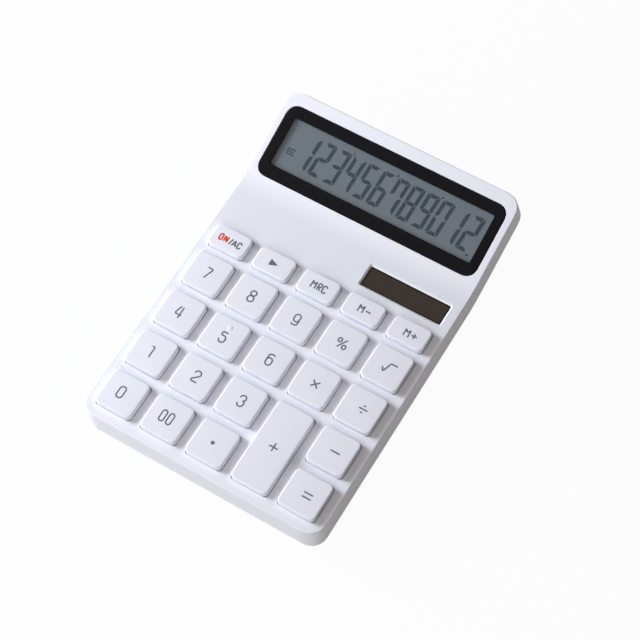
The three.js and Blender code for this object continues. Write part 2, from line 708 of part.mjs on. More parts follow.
// The flat cable lies on the back of the panel, leaves it through the notch and sweeps down to the
// back end of the board. Its side view is one curve, offset to both faces.
function lcdCable() {
  const half = CABLE_THICKNESS / 2;
  const onPanel = -(BEZEL_DEPTH + FIT + half);
  const fromPanel = (y) => {
    const point = new THREE.Vector3(0, y, onPanel).applyMatrix4(displayGroup.matrix);
    return new THREE.Vector2(point.y, point.z);
  };
  const panelEnd = fromPanel(BEZEL_FRONT_MARGIN + CABLE_LAP);
  const panelEdge = fromPanel(BEZEL_FRONT_MARGIN - BEZEL_WALL);
  const swing = fromPanel(BEZEL_FRONT_MARGIN - BEZEL_WALL - CABLE_SWING);
  const boardZ = -(BOARD_TOP_DEPTH - FIT - half);
  const boardEdge = new THREE.Vector2(BOARD_END, boardZ);
  const boardSwing = new THREE.Vector2(BOARD_END + CABLE_SWING, boardZ);
  const boardTip = new THREE.Vector2(BOARD_END - CABLE_LAP / 2, boardZ);
  const sweep = new THREE.CubicBezierCurve(panelEdge, swing, boardSwing, boardEdge);
  const path = [panelEnd, ...sweep.getPoints(LEAD_STEPS), boardTip];
  const face = (side) => path.map((point, i) => {
    const before = path[Math.max(i - 1, 0)];
    const after = path[Math.min(i + 1, path.length - 1)];
    const along = after.clone().sub(before).normalize();
    return new THREE.Vector2(point.x - side * half * along.y, point.y + side * half * along.x);
  });
  return widen([...face(1), ...face(-1).reverse()], CABLE_WIDTH);
}

// Keypad and board

function rubberKeypad() {
  const width = SLAB_WIDTH - 2 * KEYPAD_MARGIN;
  const start = KEYPAD_MARGIN;
  const length = KEYS_END - start;
  const sheet = prism(roundedRectangle(width, length, BOARD_CORNER), -KEYPAD_BOTTOM_DEPTH, -KEYPAD_DEPTH);
  sheet.translate(0, start + length / 2, 0);
  const overlap = KEYPAD_THICKNESS / 2;
  const domes = KEYS.map(({ x, y }) => loft([
    { outline: circle(DOME_BASE_RADIUS, DOME_STEPS), z: -KEYPAD_DEPTH - overlap },
    { outline: circle(DOME_BASE_RADIUS, DOME_STEPS), z: -KEYPAD_DEPTH },
    { outline: circle(DOME_TOP_RADIUS, DOME_STEPS), z: -DOME_DEPTH },
  ]).translate(x, y, 0));
  const hollows = KEYS.map(({ x, y }) => loft([
    { outline: circle(DOME_BASE_RADIUS - DOME_WALL, DOME_STEPS), z: -KEYPAD_BOTTOM_DEPTH - OVERRUN },
    { outline: circle(DOME_BASE_RADIUS - DOME_WALL, DOME_STEPS), z: -KEYPAD_DEPTH },
    { outline: circle(DOME_TOP_RADIUS - DOME_WALL, DOME_STEPS), z: -DOME_DEPTH - DOME_WALL },
  ]).translate(x, y, 0));
  const holes = postsThrough(
    POST_RADIUS + POST_HOLE_CLEARANCE,
    -KEYPAD_BOTTOM_DEPTH - OVERRUN,
    OVERRUN - KEYPAD_DEPTH,
  );
  return toGeometry(cut(join(sheet, ...domes), [...hollows, ...holes]));
}

function mainBoard() {
  const width = SLAB_WIDTH - 2 * BOARD_MARGIN;
  const length = BOARD_END - BOARD_MARGIN;
  const board = prism(roundedRectangle(width, length, BOARD_CORNER), -BOARD_BOTTOM_DEPTH, -BOARD_TOP_DEPTH);
  board.translate(0, BOARD_MARGIN + length / 2, 0);
  const holes = postsThrough(
    POST_RADIUS + POST_HOLE_CLEARANCE,
    -BOARD_BOTTOM_DEPTH - OVERRUN,
    OVERRUN - BOARD_TOP_DEPTH,
  );
  return toGeometry(cut(toSolid(board), holes));
}

// A low drop of resin over the chip, on the underside of the board.
function chipCover() {
  const top = -BOARD_BOTTOM_DEPTH - FIT;
  return turned([
    [0, top - CHIP_HEIGHT],
    [CHIP_RADIUS / 2, top - CHIP_HEIGHT],
    [CHIP_RADIUS, top - CHIP_HEIGHT / 2],
    [CHIP_RADIUS, top],
    [0, top],
  ]).translate(0, rowY(KEY_ROWS - 1), 0);
}

// Base

const FEET = [
  { name: 'foot_front_left', x: FOOT_INSET_ACROSS - TUB_WIDTH / 2, y: TUB_START_Y + FOOT_INSET_FRONT },
  { name: 'foot_front_right', x: TUB_WIDTH / 2 - FOOT_INSET_ACROSS, y: TUB_START_Y + FOOT_INSET_FRONT },
  { name: 'foot_back_left', x: FOOT_INSET_ACROSS - TUB_WIDTH / 2, y: TUB_END_Y - FOOT_INSET_BACK },
  { name: 'foot_back_right', x: TUB_WIDTH / 2 - FOOT_INSET_ACROSS, y: TUB_END_Y - FOOT_INSET_BACK },
];

function foot() {
  return prism(circle(FOOT_RADIUS), 0, TUB_CLEARANCE + FOOT_SEAT - FIT);
}

// An upright block with the tub's outline, set in from its sides.
function tubBlock(inset, bottom) {
  const outline = roundedRectangle(
    TUB_WIDTH - 2 * inset,
    TUB_LENGTH - 2 * inset,
    TUB_CORNER - inset,
  );
  return toSolid(prism(outline, bottom, SLAB_WIDTH).translate(0, TUB_Y, 0));
}

// The rim plate closes the slab inside its walls, and the wedge tub below it carries the slope.
function bottomCase() {
  const inset = SIDE_WALL + FIT;
  const plate = toSolid(fromDeck(toGeometry(bentSlab(PLATE_DEPTH, SIDE_DEPTH, inset))));
  const belowPlate = toSolid(fromDeck(widen(
    bentSideView(PLATE_DEPTH, SIDE_DEPTH + SLAB_WIDTH, inset),
    SLAB_WIDTH,
  )));
  const outside = tubBlock(0, TUB_CLEARANCE);
  const towers = join(...postsThrough(TOWER_RADIUS, -SLAB_WIDTH, -PLATE_DEPTH).map(fromDeck));
  const base = outside
    .intersect(belowPlate)
    .add(plate)
    .subtract(tubBlock(TUB_WALL, TUB_FLOOR_Z))
    .add(towers.intersect(outside))
    .add(batteryBoxOutside());
  return toGeometry(cut(base, [
    ...postsThrough(TOWER_RADIUS - TOWER_WALL, -SLAB_WIDTH, -TOWER_FLOOR_DEPTH).map(fromDeck),
    ...postsThrough(SCREW_SHANK_RADIUS + FIT, -SLAB_WIDTH, OVERRUN - PLATE_DEPTH).map(fromDeck),
    ...FEET.map(({ x, y }) => prism(
      circle(FOOT_RADIUS + FOOT_SEAT_MARGIN),
      TUB_CLEARANCE - OVERRUN,
      TUB_CLEARANCE + FOOT_SEAT,
    ).translate(x, y, 0)),
    ...batteryBoxCuts(),
  ]));
}

function batteryBoxOutside() {
  const walls = span(
    -BOX_LENGTH / 2 - BATTERY_WALL,
    BOX_LENGTH / 2 + BATTERY_WALL,
    BATTERY_Y - BOX_WIDTH / 2 - BATTERY_WALL,
    BATTERY_Y + BOX_WIDTH / 2 + BATTERY_WALL,
    TUB_CLEARANCE,
    BOX_TOP_Z + BATTERY_WALL,
  );
  const halfWidth = DOOR_WIDTH / 2 + DOOR_TONGUE_REACH + FIT + BATTERY_WALL;
  const roof = span(
    -halfWidth,
    halfWidth,
    DOOR_START_Y - FIT - BATTERY_WALL,
    TUB_END_Y,
    TUB_CLEARANCE,
    DOOR_CEILING_Z + DOOR_ROOF,
  );
  return join(walls, roof);
}

// The door's recess is open at the back of the tub. Its sides are wider above than below, so that a
// lip holds the door's tongues. The battery space opens into it, and each contact has a slot above.
function batteryBoxCuts() {
  const narrow = DOOR_WIDTH / 2 + FIT;
  const wide = narrow + DOOR_TONGUE_REACH;
  const start = DOOR_START_Y - FIT;
  const end = TUB_END_Y + OVERRUN;
  const slots = [PLUS_X, MINUS_X].map((x) => span(
    x - CONTACT_THICKNESS / 2 - FIT,
    x + CONTACT_THICKNESS / 2 + FIT,
    BATTERY_Y - CONTACT_TAIL_WIDTH / 2 - FIT,
    BATTERY_Y + CONTACT_TAIL_WIDTH / 2 + FIT,
    BOX_TOP_Z - OVERRUN,
    BOX_TOP_Z + BATTERY_WALL + OVERRUN,
  ));
  return [
    span(-narrow, narrow, start, end, TUB_CLEARANCE - OVERRUN, DOOR_CEILING_Z),
    span(-wide, wide, start, end, DOOR_TONGUE_Z - FIT, DOOR_CEILING_Z),
    span(
      -BOX_LENGTH / 2,
      BOX_LENGTH / 2,
      BATTERY_Y - BOX_WIDTH / 2,
      BATTERY_Y + BOX_WIDTH / 2,
      DOOR_TONGUE_Z,
      BOX_TOP_Z,
    ),
    ...slots,
  ];
}

function batteryDoor() {
  const half = DOOR_WIDTH / 2;
  const tongueHalf = half + DOOR_TONGUE_REACH;
  return toGeometry(join(
    span(-half, half, DOOR_START_Y, TUB_END_Y, TUB_CLEARANCE, DOOR_TOP_Z),
    span(-tongueHalf, tongueHalf, DOOR_START_Y, TUB_END_Y, DOOR_TONGUE_Z, DOOR_TOP_Z),
  ));
}

// The cell lies across the box, its nub to the right.
function battery() {
  const body = BATTERY_LENGTH - BATTERY_NUB_LENGTH;
  return turned([
    [0, 0],
    [BATTERY_RADIUS, 0],
    [BATTERY_RADIUS, body],
    [BATTERY_NUB_RADIUS, body],
    [BATTERY_NUB_RADIUS, BATTERY_LENGTH],
    [0, BATTERY_LENGTH],
  ]).rotateY(Math.PI / 2).translate(BATTERY_TIP_X - BATTERY_LENGTH, BATTERY_Y, BATTERY_Z);
}

// A contact stands at the end of the box, and its tail comes up through the slot.
function contactPlate(x) {
  const near = x - CONTACT_THICKNESS / 2;
  const far = x + CONTACT_THICKNESS / 2;
  const half = CONTACT_WIDTH / 2;
  const tail = CONTACT_TAIL_WIDTH / 2;
  return join(
    span(near, far, BATTERY_Y - half, BATTERY_Y + half, CONTACT_BOTTOM_Z, CONTACT_TOP_Z),
    span(near, far, BATTERY_Y - tail, BATTERY_Y + tail, BATTERY_Z, CONTACT_TAIL_Z),
  );
}

class ConicalCoil extends THREE.Curve {
  getPoint(t, target = new THREE.Vector3()) {
    const angle = 2 * Math.PI * SPRING_TURNS * t;
    const radius = THREE.MathUtils.lerp(SPRING_BASE_RADIUS, SPRING_TIP_RADIUS, t);
    const reach = SPRING_LENGTH - SPRING_WIRE_RADIUS;
    return target.set(t * reach, radius * Math.cos(angle), radius * Math.sin(angle));
  }
}

function minusContact() {
  const coil = tube(new ConicalCoil(), SPRING_WIRE_RADIUS, COIL_STEPS, COIL_SIDES);
  coil.translate(MINUS_X + CONTACT_THICKNESS / 2, BATTERY_Y, BATTERY_Z);
  return toGeometry(contactPlate(MINUS_X).add(toSolid(coil)));
}

// Screws: the head is at the bottom and the shank goes up.
function screw(headRadius, headHeight, shankRadius, length) {
  return turned([
    [0, 0],
    [headRadius, 0],
    [headRadius, headHeight],
    [shankRadius, headHeight],
    [shankRadius, headHeight + length - shankRadius],
    [0, headHeight + length],
  ], DOME_STEPS);
}

function addScrews() {
  const caseScrew = screw(SCREW_HEAD_RADIUS, SCREW_HEAD_HEIGHT, SCREW_SHANK_RADIUS, SCREW_LENGTH);
  for (const { name, x, y } of POSTS) {
    const mesh = addPart(deckGroup, name, caseScrew, STEEL);
    mesh.position.set(x, y, -TOWER_FLOOR_DEPTH - FIT - SCREW_HEAD_HEIGHT);
  }
  const smallScrew = screw(
    SMALL_SCREW_HEAD_RADIUS,
    SMALL_SCREW_HEAD_HEIGHT,
    SMALL_SCREW_SHANK_RADIUS,
    SMALL_SCREW_LENGTH,
  );
  for (const { name, x, y } of HOLDER_SCREWS) {
    const mesh = addPart(displayGroup, name, smallScrew, STEEL);
    mesh.position.set(x, y, -HOLDER_BOTTOM_DEPTH - FIT - SMALL_SCREW_HEAD_HEIGHT);
  }
}

// Leads

function lead(points) {
  return tube(new THREE.CatmullRomCurve3(points), LEAD_RADIUS, LEAD_STEPS, LEAD_SIDES);
}

// From under an end of the solar cell straight down to the board, with a slight bow.
function solarLead(x) {
  const top = -(SOLAR_SINK + GLASS_GAP + SOLAR_THICKNESS + FIT);
  const bottom = -(BOARD_TOP_DEPTH - FIT);
  const y = SOLAR_START;
  return lead([
    new THREE.Vector3(x, y, top),
    new THREE.Vector3(x, y + LEAD_RADIUS, (top + bottom) / 2),
    new THREE.Vector3(x, y, bottom),
  ]);
}

// From a contact's tail, over and down inside the tub, to the underside of the board's back end.
function batteryLead(x) {
  const end = new THREE.Vector3(x, BOARD_END - LEAD_INSET, -BOARD_BOTTOM_DEPTH - FIT);
  end.applyMatrix4(deckGroup.matrix);
  const start = new THREE.Vector3(x, BATTERY_Y, CONTACT_TAIL_Z + FIT);
  const middleY = (start.y + end.y) / 2;
  return lead([
    start,
    new THREE.Vector3(x, start.y - LEAD_RADIUS, start.z + 2 * LEAD_RADIUS),
    new THREE.Vector3(x, start.y - LEAD_INSET, start.z + LEAD_RADIUS),
    new THREE.Vector3(x, middleY, (start.z + end.z) / 2),
    new THREE.Vector3(x, end.y + LEAD_INSET, end.z - LEAD_SAG / 2),
    new THREE.Vector3(x, end.y, end.z - LEAD_SAG / 2),
    end,
  ]);
}

function addLeads() {
  addPart(deckGroup, 'solar_lead_red', solarLead(SOLAR_X - SOLAR_WIDTH / 2 + LEAD_INSET), RED_LEAD);
  addPart(deckGroup, 'solar_lead_black', solarLead(SOLAR_X + SOLAR_WIDTH / 2 - LEAD_INSET), BLACK_LEAD);
  addPart(calculator, 'battery_lead_red', batteryLead(PLUS_X), RED_LEAD);
  addPart(calculator, 'battery_lead_black', batteryLead(MINUS_X), BLACK_LEAD);
}

// Assembly

addPart(deckGroup, 'upper_case', upperCase(), WHITE_CASE);
addPart(calculator, 'bottom_case', bottomCase(), WHITE_CASE);
addKeys();
addPart(displayGroup, 'display_bezel', displayBezel(), BLACK_FRAME);
addPart(displayGroup, 'display_lens', pocketSheet(LENS_TOP_DEPTH, LENS_THICKNESS), CLEAR_SHEET);
addPart(displayGroup, 'lcd_panel', pocketSheet(LCD_TOP_DEPTH, LCD_THICKNESS), LCD_GLASS);
addPart(displayGroup, 'lcd_holder', lcdHolder(), INNER_PLASTIC);
addPart(deckGroup, 'lcd_flat_cable', lcdCable(), CABLE_FILM);
addPart(deckGroup, 'solar_cell', solarCell(), SOLAR_GLASS);
addPart(deckGroup, 'rubber_keypad', rubberKeypad(), GREY_RUBBER);
addPart(deckGroup, 'main_board', mainBoard(), BOARD_GREEN);
addPart(deckGroup, 'chip_cover', chipCover(), RESIN);
addPart(calculator, 'battery_cell', battery(), BATTERY_SKIN);
addPart(calculator, 'battery_contact_plus', toGeometry(contactPlate(PLUS_X)), STEEL);
addPart(calculator, 'battery_contact_minus', minusContact(), STEEL);
addPart(calculator, 'battery_door', batteryDoor(), WHITE_CASE);
for (const { name, x, y } of FEET) {
  addPart(calculator, name, foot(), DARK_RUBBER).position.set(x, y, 0);
}
addScrews();
addLeads();

export default calculator;
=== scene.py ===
# %% [markdown]
# # A white desktop calculator
# The solids of the calculator are already made. This lesson gives them their looks: soft edges,
# printed signs, a liquid-crystal display, and plastics, glass, rubber and metal that look like themselves.
# Everything is in metres, and every new surface is worked out with numpy from sizes read off the solids.

# %% Load the fixed frame
import json
import math

import bmesh
import bpy
import numpy as np
from mathutils import Matrix, Vector
from mathutils.geometry import delaunay_2d_cdt


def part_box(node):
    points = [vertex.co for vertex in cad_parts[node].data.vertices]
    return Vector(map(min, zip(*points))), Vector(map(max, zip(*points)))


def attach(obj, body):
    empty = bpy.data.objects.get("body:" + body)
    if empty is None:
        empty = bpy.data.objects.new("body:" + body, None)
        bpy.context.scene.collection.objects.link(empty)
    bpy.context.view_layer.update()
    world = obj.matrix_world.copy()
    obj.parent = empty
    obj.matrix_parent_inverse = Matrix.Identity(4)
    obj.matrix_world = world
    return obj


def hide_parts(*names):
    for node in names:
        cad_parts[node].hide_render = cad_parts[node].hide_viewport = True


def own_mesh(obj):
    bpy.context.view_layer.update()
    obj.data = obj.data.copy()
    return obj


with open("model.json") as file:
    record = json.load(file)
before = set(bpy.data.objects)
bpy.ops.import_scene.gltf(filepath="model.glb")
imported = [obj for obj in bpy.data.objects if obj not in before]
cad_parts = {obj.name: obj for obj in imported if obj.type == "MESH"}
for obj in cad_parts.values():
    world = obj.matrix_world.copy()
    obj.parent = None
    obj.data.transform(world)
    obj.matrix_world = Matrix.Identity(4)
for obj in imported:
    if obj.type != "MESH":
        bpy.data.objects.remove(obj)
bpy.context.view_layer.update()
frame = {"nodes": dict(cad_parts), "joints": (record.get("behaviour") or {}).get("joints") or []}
MM = 0.001

# %% [markdown]
# ## Two tilted frames
# The keys stand on a deck that slopes gently towards the user, and the display stands on a second plane
# behind it that tilts up more. It is far easier to draw in those planes than on the table, so this step
# measures both from the solids. The slope could be typed in, but reading it from the way the keys travel
# and from the glass of the display keeps the looks and the solids together.

# %% Measure the deck
FRONT_PART = 100 * MM
SIDEWAYS = np.array([1.0, 0.0, 0.0])
UP = -np.array(frame["joints"][0]["axis"], float)
UP /= np.linalg.norm(UP)
ALONG = np.cross(UP, SIDEWAYS)
DECK_AXES = np.stack([SIDEWAYS, ALONG, UP])


def points_of(node):
    """The corners of one solid as rows of (x, y, z)."""
    mesh = frame["nodes"][node].data
    flat = np.empty(3 * len(mesh.vertices))
    mesh.vertices.foreach_get("co", flat)
    return flat.reshape(-1, 3)


case_points = points_of("upper_case")
front = (case_points @ ALONG).min()
near_front = case_points[case_points @ ALONG < front + FRONT_PART]
deck_level = (near_front @ UP).max()
DECK_ORIGIN = ALONG * front + UP * deck_level
SLOPE = math.atan2(-UP[1], UP[2])
print("deck slope in degrees", round(math.degrees(SLOPE), 3))

# %% Measure the display's plane and where it meets the deck
BACK_PART = 30 * MM
glass = np.unique(points_of("lcd_panel")[:, 1:].round(7), axis=0)
longest = np.linalg.svd(glass - glass.mean(0))[2][0]
longest *= np.sign(longest[0])
DISPLAY_ALONG = np.array([0.0, *longest])
DISPLAY_UP = np.cross(SIDEWAYS, DISPLAY_ALONG)
DISPLAY_AXES = np.stack([SIDEWAYS, DISPLAY_ALONG, DISPLAY_UP])
back_points = case_points[case_points[:, 1] > case_points[:, 1].max() - BACK_PART]
display_level = (back_points @ DISPLAY_UP).max()
KINK = np.array([0.0, *np.linalg.solve([UP[1:], DISPLAY_UP[1:]], [deck_level, display_level])])
TILT = math.atan2(DISPLAY_ALONG[2], DISPLAY_ALONG[1]) - SLOPE
deck_length = (KINK - DECK_ORIGIN) @ ALONG
display_length = ((back_points - KINK) @ DISPLAY_ALONG).max()
print("tilt", round(math.degrees(TILT), 3), "deck", deck_length, "display", display_length)


# %% Move between the planes and the table
def on_deck(local):
    """Deck to table: the origin, plus x sideways, y up the keyboard and z out of the deck."""
    return DECK_ORIGIN + local @ DECK_AXES


def on_display(local):
    """Display to table: the kink, plus x sideways, y up the display and z out of it."""
    return KINK + local @ DISPLAY_AXES


def deck_points(node):
    """A solid's corners in the deck's own x, y and z: the dot products with its three directions."""
    return (points_of(node) - DECK_ORIGIN) @ DECK_AXES.T


def display_points(node):
    """A solid's corners in the display's own x, y and z, in the same way."""
    return (points_of(node) - KINK) @ DISPLAY_AXES.T


# %% Find and measure solids
def nodes_with(word):
    """The names of the solids that hold a word."""
    return [name for name in frame["nodes"] if word in name]


def middle_and_half(points):
    """The middle of the box round some points, and half its size each way."""
    low, high = points.min(0), points.max(0)
    return (low + high) / 2, (high - low) / 2


# %% [markdown]
# ## The camera
# The photograph was taken from the front right, high above the keys, through a long lens. Its place was
# worked out once from the corners of the keys, and it is written here as four rows of a matrix.

# %% Camera
def put(name, data):
    """A new object at the origin, linked to the scene."""
    thing = bpy.data.objects.new(name, data)
    bpy.context.scene.collection.objects.link(thing)
    return thing


camera = put("camera", bpy.data.cameras.new("camera"))
camera.data.sensor_width = 36
camera.data.lens = 104.924
camera.matrix_world = Matrix((
    (0.85559803, -0.44606449, 0.26263755, 0.2200015),
    (0.51763918, 0.73856522, -0.43193876, -0.3512196),
    (-0.00130241, 0.50551744, 0.8628154, 0.7169257),
    (0, 0, 0, 1),
))
camera.data.clip_start = 0.05
bpy.context.scene.camera = camera
bpy.context.scene.view_settings.view_transform = "Standard"

# %% [markdown]
# ## Surfaces from rings
# Nearly every piece here is a stack of closed rings joined by bands: a key is a rounded square carried from
# its plunger out to its skirt, up its wall and in over its top. One ring of points runs round a plain
# rectangle, and each level sends these same points to its own rounded outline, so that all levels join
# without a single odd face. Bevelling a box would be quicker, but it gives less control of each edge.

# %% Rings round a rectangle
STEPS = 16
EASE = 0.7


def eased(start, end):
    """Steps from start to end, closer near both ends: t less a part of its own sine. The end is left out."""
    t = np.arange(STEPS) / STEPS
    return start + (end - start) * (t - EASE * np.sin(2 * np.pi * t) / (2 * np.pi))


def walk(edges):
    """Eased steps through all the boundaries, less the last point."""
    return np.concatenate([eased(a, b) for a, b in zip(edges, edges[1:])])


def ring(xs, ys):
    """A rectangle walked right, up, left and down, in eased steps between the given boundaries."""
    sides = [(walk(xs), ys[0]), (xs[-1], walk(ys)), (walk(xs[::-1]), ys[-1]), (xs[0], walk(ys[::-1]))]
    return np.concatenate([np.stack(np.broadcast_arrays(x, y), 1) for x, y in sides])


def outline(reference, centre, half, radius, by=0):
    """A rounded rectangle seen from a ring outside it: each point goes to the nearest point of the core,
    which is the rectangle less the radius, and from there outwards by the radius. The outline can be moved
    out by a distance, or in where that is negative, and its corners stay round the same centres."""
    core = np.asarray(half) - radius
    away = reference - centre
    nearest = np.clip(away, -core, core)
    away = away - nearest
    return centre + nearest + (radius + by) * away / np.linalg.norm(away, axis=1, keepdims=True)


def raised(flat, z):
    """Points of a plane given a height, which may be one number or one for each point."""
    return np.column_stack([flat, np.broadcast_to(z, len(flat))])


# %% Bands between rings, quarter rounds, grids and turned shapes
def skin(levels):
    """Bands between rings of equal count: face (i, j) joins points j and j + 1 of rings i and i + 1."""
    index = np.arange(len(levels) * len(levels[0])).reshape(len(levels), -1)
    a, b = index[:-1], index[1:]
    quads = np.stack([a, np.roll(a, -1, 1), np.roll(b, -1, 1), b], -1).reshape(-1, 4)
    return np.concatenate(levels), quads


def quarter(radius, steps):
    """A quarter round from a flat top edge to a wall: pairs of (how far out, how far down), which are the
    sine and one minus the cosine of an even angle, times the radius."""
    angle = np.linspace(0, np.pi / 2, steps + 1)
    return np.column_stack([radius * np.sin(angle), radius * (1 - np.cos(angle))])


def edge_rings(around, centre, half, radius, soft, steps, way):
    """A quarter round on a rounded rectangle, from the flat face down to the wall. Way 1 is the edge of an
    opening, whose rings start out from the wall, and way -1 an outer edge, whose rings start in from it."""
    return [raised(outline(around, centre, half, radius, way * (soft - out_by)), -down)
            for out_by, down in quarter(soft, steps)]


def grid(xs, ys):
    """Points in rows, their numbers, and faces that join points j and j + 1 of rows i and i + 1."""
    flat = np.stack(np.meshgrid(xs, ys), -1).reshape(-1, 2)
    index = np.arange(len(flat)).reshape(len(ys), len(xs))
    quads = np.stack([index[:-1, :-1], index[:-1, 1:], index[1:, 1:], index[1:, :-1]], -1)
    return flat, index, quads.reshape(-1, 4)


def circle(centre, radius, count=32):
    """Points round a circle: the centre plus the radius times cosine and sine."""
    angle = np.arange(count) / count * 2 * np.pi
    return centre + radius * np.stack([np.cos(angle), np.sin(angle)], 1)


def turned(profile, centre, count=32):
    """A profile of (radius, height) pairs carried round an upright line. It starts and ends on the line."""
    return skin([raised(circle(centre, radius, count), height) for radius, height in profile])


# %% Put surfaces into a piece
MERGE_DISTANCE = 1e-7
SHARP_ANGLE = math.radians(35)


def make_piece(name, skins, body, material, replaces=(), place=None, centre=(0, 0), turn_out=False):
    """Join skins into one mesh, move them to a centre in their plane and from there to the table, merge
    points that coincide, and set the piece on a body of the frame."""
    starts = np.cumsum([0] + [len(points) for points, _ in skins])
    points = np.concatenate([points for points, _ in skins])
    if place:
        points = place(points + [*centre, 0])
    faces = [face for (_, sides), start in zip(skins, starts) for face in (sides + start).tolist()]
    mesh = bpy.data.meshes.new(name)
    mesh.from_pydata(points, [], faces)
    shape = bmesh.new()
    shape.from_mesh(mesh)
    bmesh.ops.remove_doubles(shape, verts=shape.verts, dist=MERGE_DISTANCE)
    if turn_out:
        bmesh.ops.recalc_face_normals(shape, faces=shape.faces)
    open_edges = sum(len(edge.link_faces) != 2 for edge in shape.edges)
    shape.to_mesh(mesh)
    shape.free()
    mesh.shade_smooth()
    mesh.set_sharp_from_angle(angle=SHARP_ANGLE)
    mesh.materials.append(material)
    piece = put(name, mesh)
    weights = piece.modifiers.new("even shading", "WEIGHTED_NORMAL")
    weights.keep_sharp = True
    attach(piece, body)
    if replaces:
        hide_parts(*replaces)
    if open_edges:
        print("open edges in", name, open_edges)
    return piece


# %% [markdown]
# ## Materials
# The calculator is plain plastic, so its looks hang on small things: a fine spark-eroded grain that
# breaks up the gloss, a faint unevenness of colour, and the right darkness of each part. Each effect that
# several finishes share is one node group that only hands out a colour, a roughness and a height. The
# shader stays in the material, and its plain numbers are set on its own sockets.


# %% Helpers for nodes
def linear(red, green, blue):
    """A colour written as 0 to 255 for the screen, turned into light: the sRGB curve undone."""
    value = np.array([red, green, blue]) / 255
    light = np.where(value > 0.04045, ((value + 0.055) / 1.055) ** 2.4, value / 12.92)
    return (*light.tolist(), 1.0)


def add(tree, kind, values=(), **settings):
    """A node of one kind, with settings, and values for its inputs: a number, a colour or a socket."""
    node = tree.nodes.new("ShaderNode" + kind)
    for key, value in settings.items():
        setattr(node, key, value)
    for key, value in dict(values).items():
        if isinstance(value, bpy.types.NodeSocket):
            tree.links.new(value, node.inputs[key])
        else:
            node.inputs[key].default_value = value
    return node


def math_node(tree, operation, *values):
    """The output of a Math node."""
    return add(tree, "Math", dict(enumerate(values)), operation=operation).outputs[0]


def mix_colour(tree, factor, first, second):
    """The output of a Mix node on two colours."""
    return add(tree, "Mix", {0: factor, 6: first, 7: second}, data_type="RGBA").outputs[2]


def new_group(name, inputs):
    """A node group with named inputs and their defaults, and the three outputs of every finish here: the
    group, the sockets that hold what it is given, and those that take what it puts out."""
    tree = bpy.data.node_groups.new(name, "ShaderNodeTree")
    for label, value in inputs.items():
        kind = "NodeSocketColor" if label == "Colour" else "NodeSocketFloat"
        tree.interface.new_socket(name=label, in_out="INPUT", socket_type=kind).default_value = value
    for label, kind in {"Colour": "Color", "Roughness": "Float", "Height": "Float"}.items():
        tree.interface.new_socket(name=label, in_out="OUTPUT", socket_type="NodeSocket" + kind)
    return tree, tree.nodes.new("NodeGroupInput").outputs, tree.nodes.new("NodeGroupOutput").inputs


def drive_outputs(group, given, out, drift, gloss):
    """The colour times one plus the drift's share of one noise, the roughness plus its spread's share of
    another, and that other noise as height. Both noises count from their mean, which is a half."""
    shift = math_node(group, "SUBTRACT", drift, 0.5)
    shift = math_node(group, "MULTIPLY_ADD", shift, given["Drift"], 1.0)
    shade = add(group, "VectorMath", {0: given["Colour"], "Scale": shift}, operation="SCALE")
    spread = math_node(group, "SUBTRACT", gloss, 0.5)
    spread = math_node(group, "MULTIPLY_ADD", spread, given["Roughness spread"], given["Roughness"])
    for label, socket in [("Colour", shade.outputs[0]), ("Roughness", spread), ("Height", gloss)]:
        group.links.new(socket, out[label])


# %% [markdown]
# ### Moulded grain
# A steel mould leaves a fine, even grain in plastic. Two noises do it here: a small one that gives height
# and breaks up the roughness, and a broad one that lets the colour drift by a few hundredths, as resin
# does where it flowed. A picture of grain would show its edges, and noise on object coordinates has none.

# %% Group: moulded grain
grain, given, out = new_group("moulded_grain", {
    "Colour": (0.8, 0.8, 0.8, 1), "Drift": 0.03, "Grain per metre": 2500.0, "Roughness": 0.5,
    "Roughness spread": 0.1,
})
place = add(grain, "TexCoord").outputs["Object"]
fine = add(grain, "TexNoise", {"Vector": place, "Scale": given["Grain per metre"], "Detail": 3.0})
broad = add(grain, "TexNoise", {"Vector": place, "Scale": 28.0, "Detail": 2.0})
drive_outputs(grain, given, out, broad.outputs["Fac"], fine.outputs["Fac"])

# %% A finish from an effect group
BUMP_HEIGHT = 0.01 * MM


def finish(name, group, colour, values, gloss, metallic=0.0, bump=0.0):
    """A material with one shader, whose colour and roughness come from the group. The group's height can
    make a bump of a hundredth of a millimetre."""
    material = bpy.data.materials.new(name)
    material.use_nodes = True
    tree = material.node_tree
    effect = add(tree, "Group", {"Colour": linear(*colour), **values}, node_tree=group).outputs
    shader = tree.nodes["Principled BSDF"].inputs
    shader["Specular IOR Level"].default_value = gloss
    shader["Metallic"].default_value = metallic
    tree.links.new(effect["Colour"], shader["Base Color"])
    tree.links.new(effect["Roughness"], shader["Roughness"])
    if bump:
        bumps = add(tree, "Bump", {"Strength": bump, "Distance": BUMP_HEIGHT, "Height": effect["Height"]})
        tree.links.new(bumps.outputs[0], shader["Normal"])
    return material


# %% Finish: moulded plastic
def plastic(name, colour, roughness, drift=0.03, per_metre=2500.0, bump=0.25, gloss=0.5):
    """Plastic or rubber, from the grain group."""
    values = {"Roughness": roughness, "Drift": drift, "Grain per metre": per_metre}
    return finish(name, grain, colour, values, gloss, bump=bump)


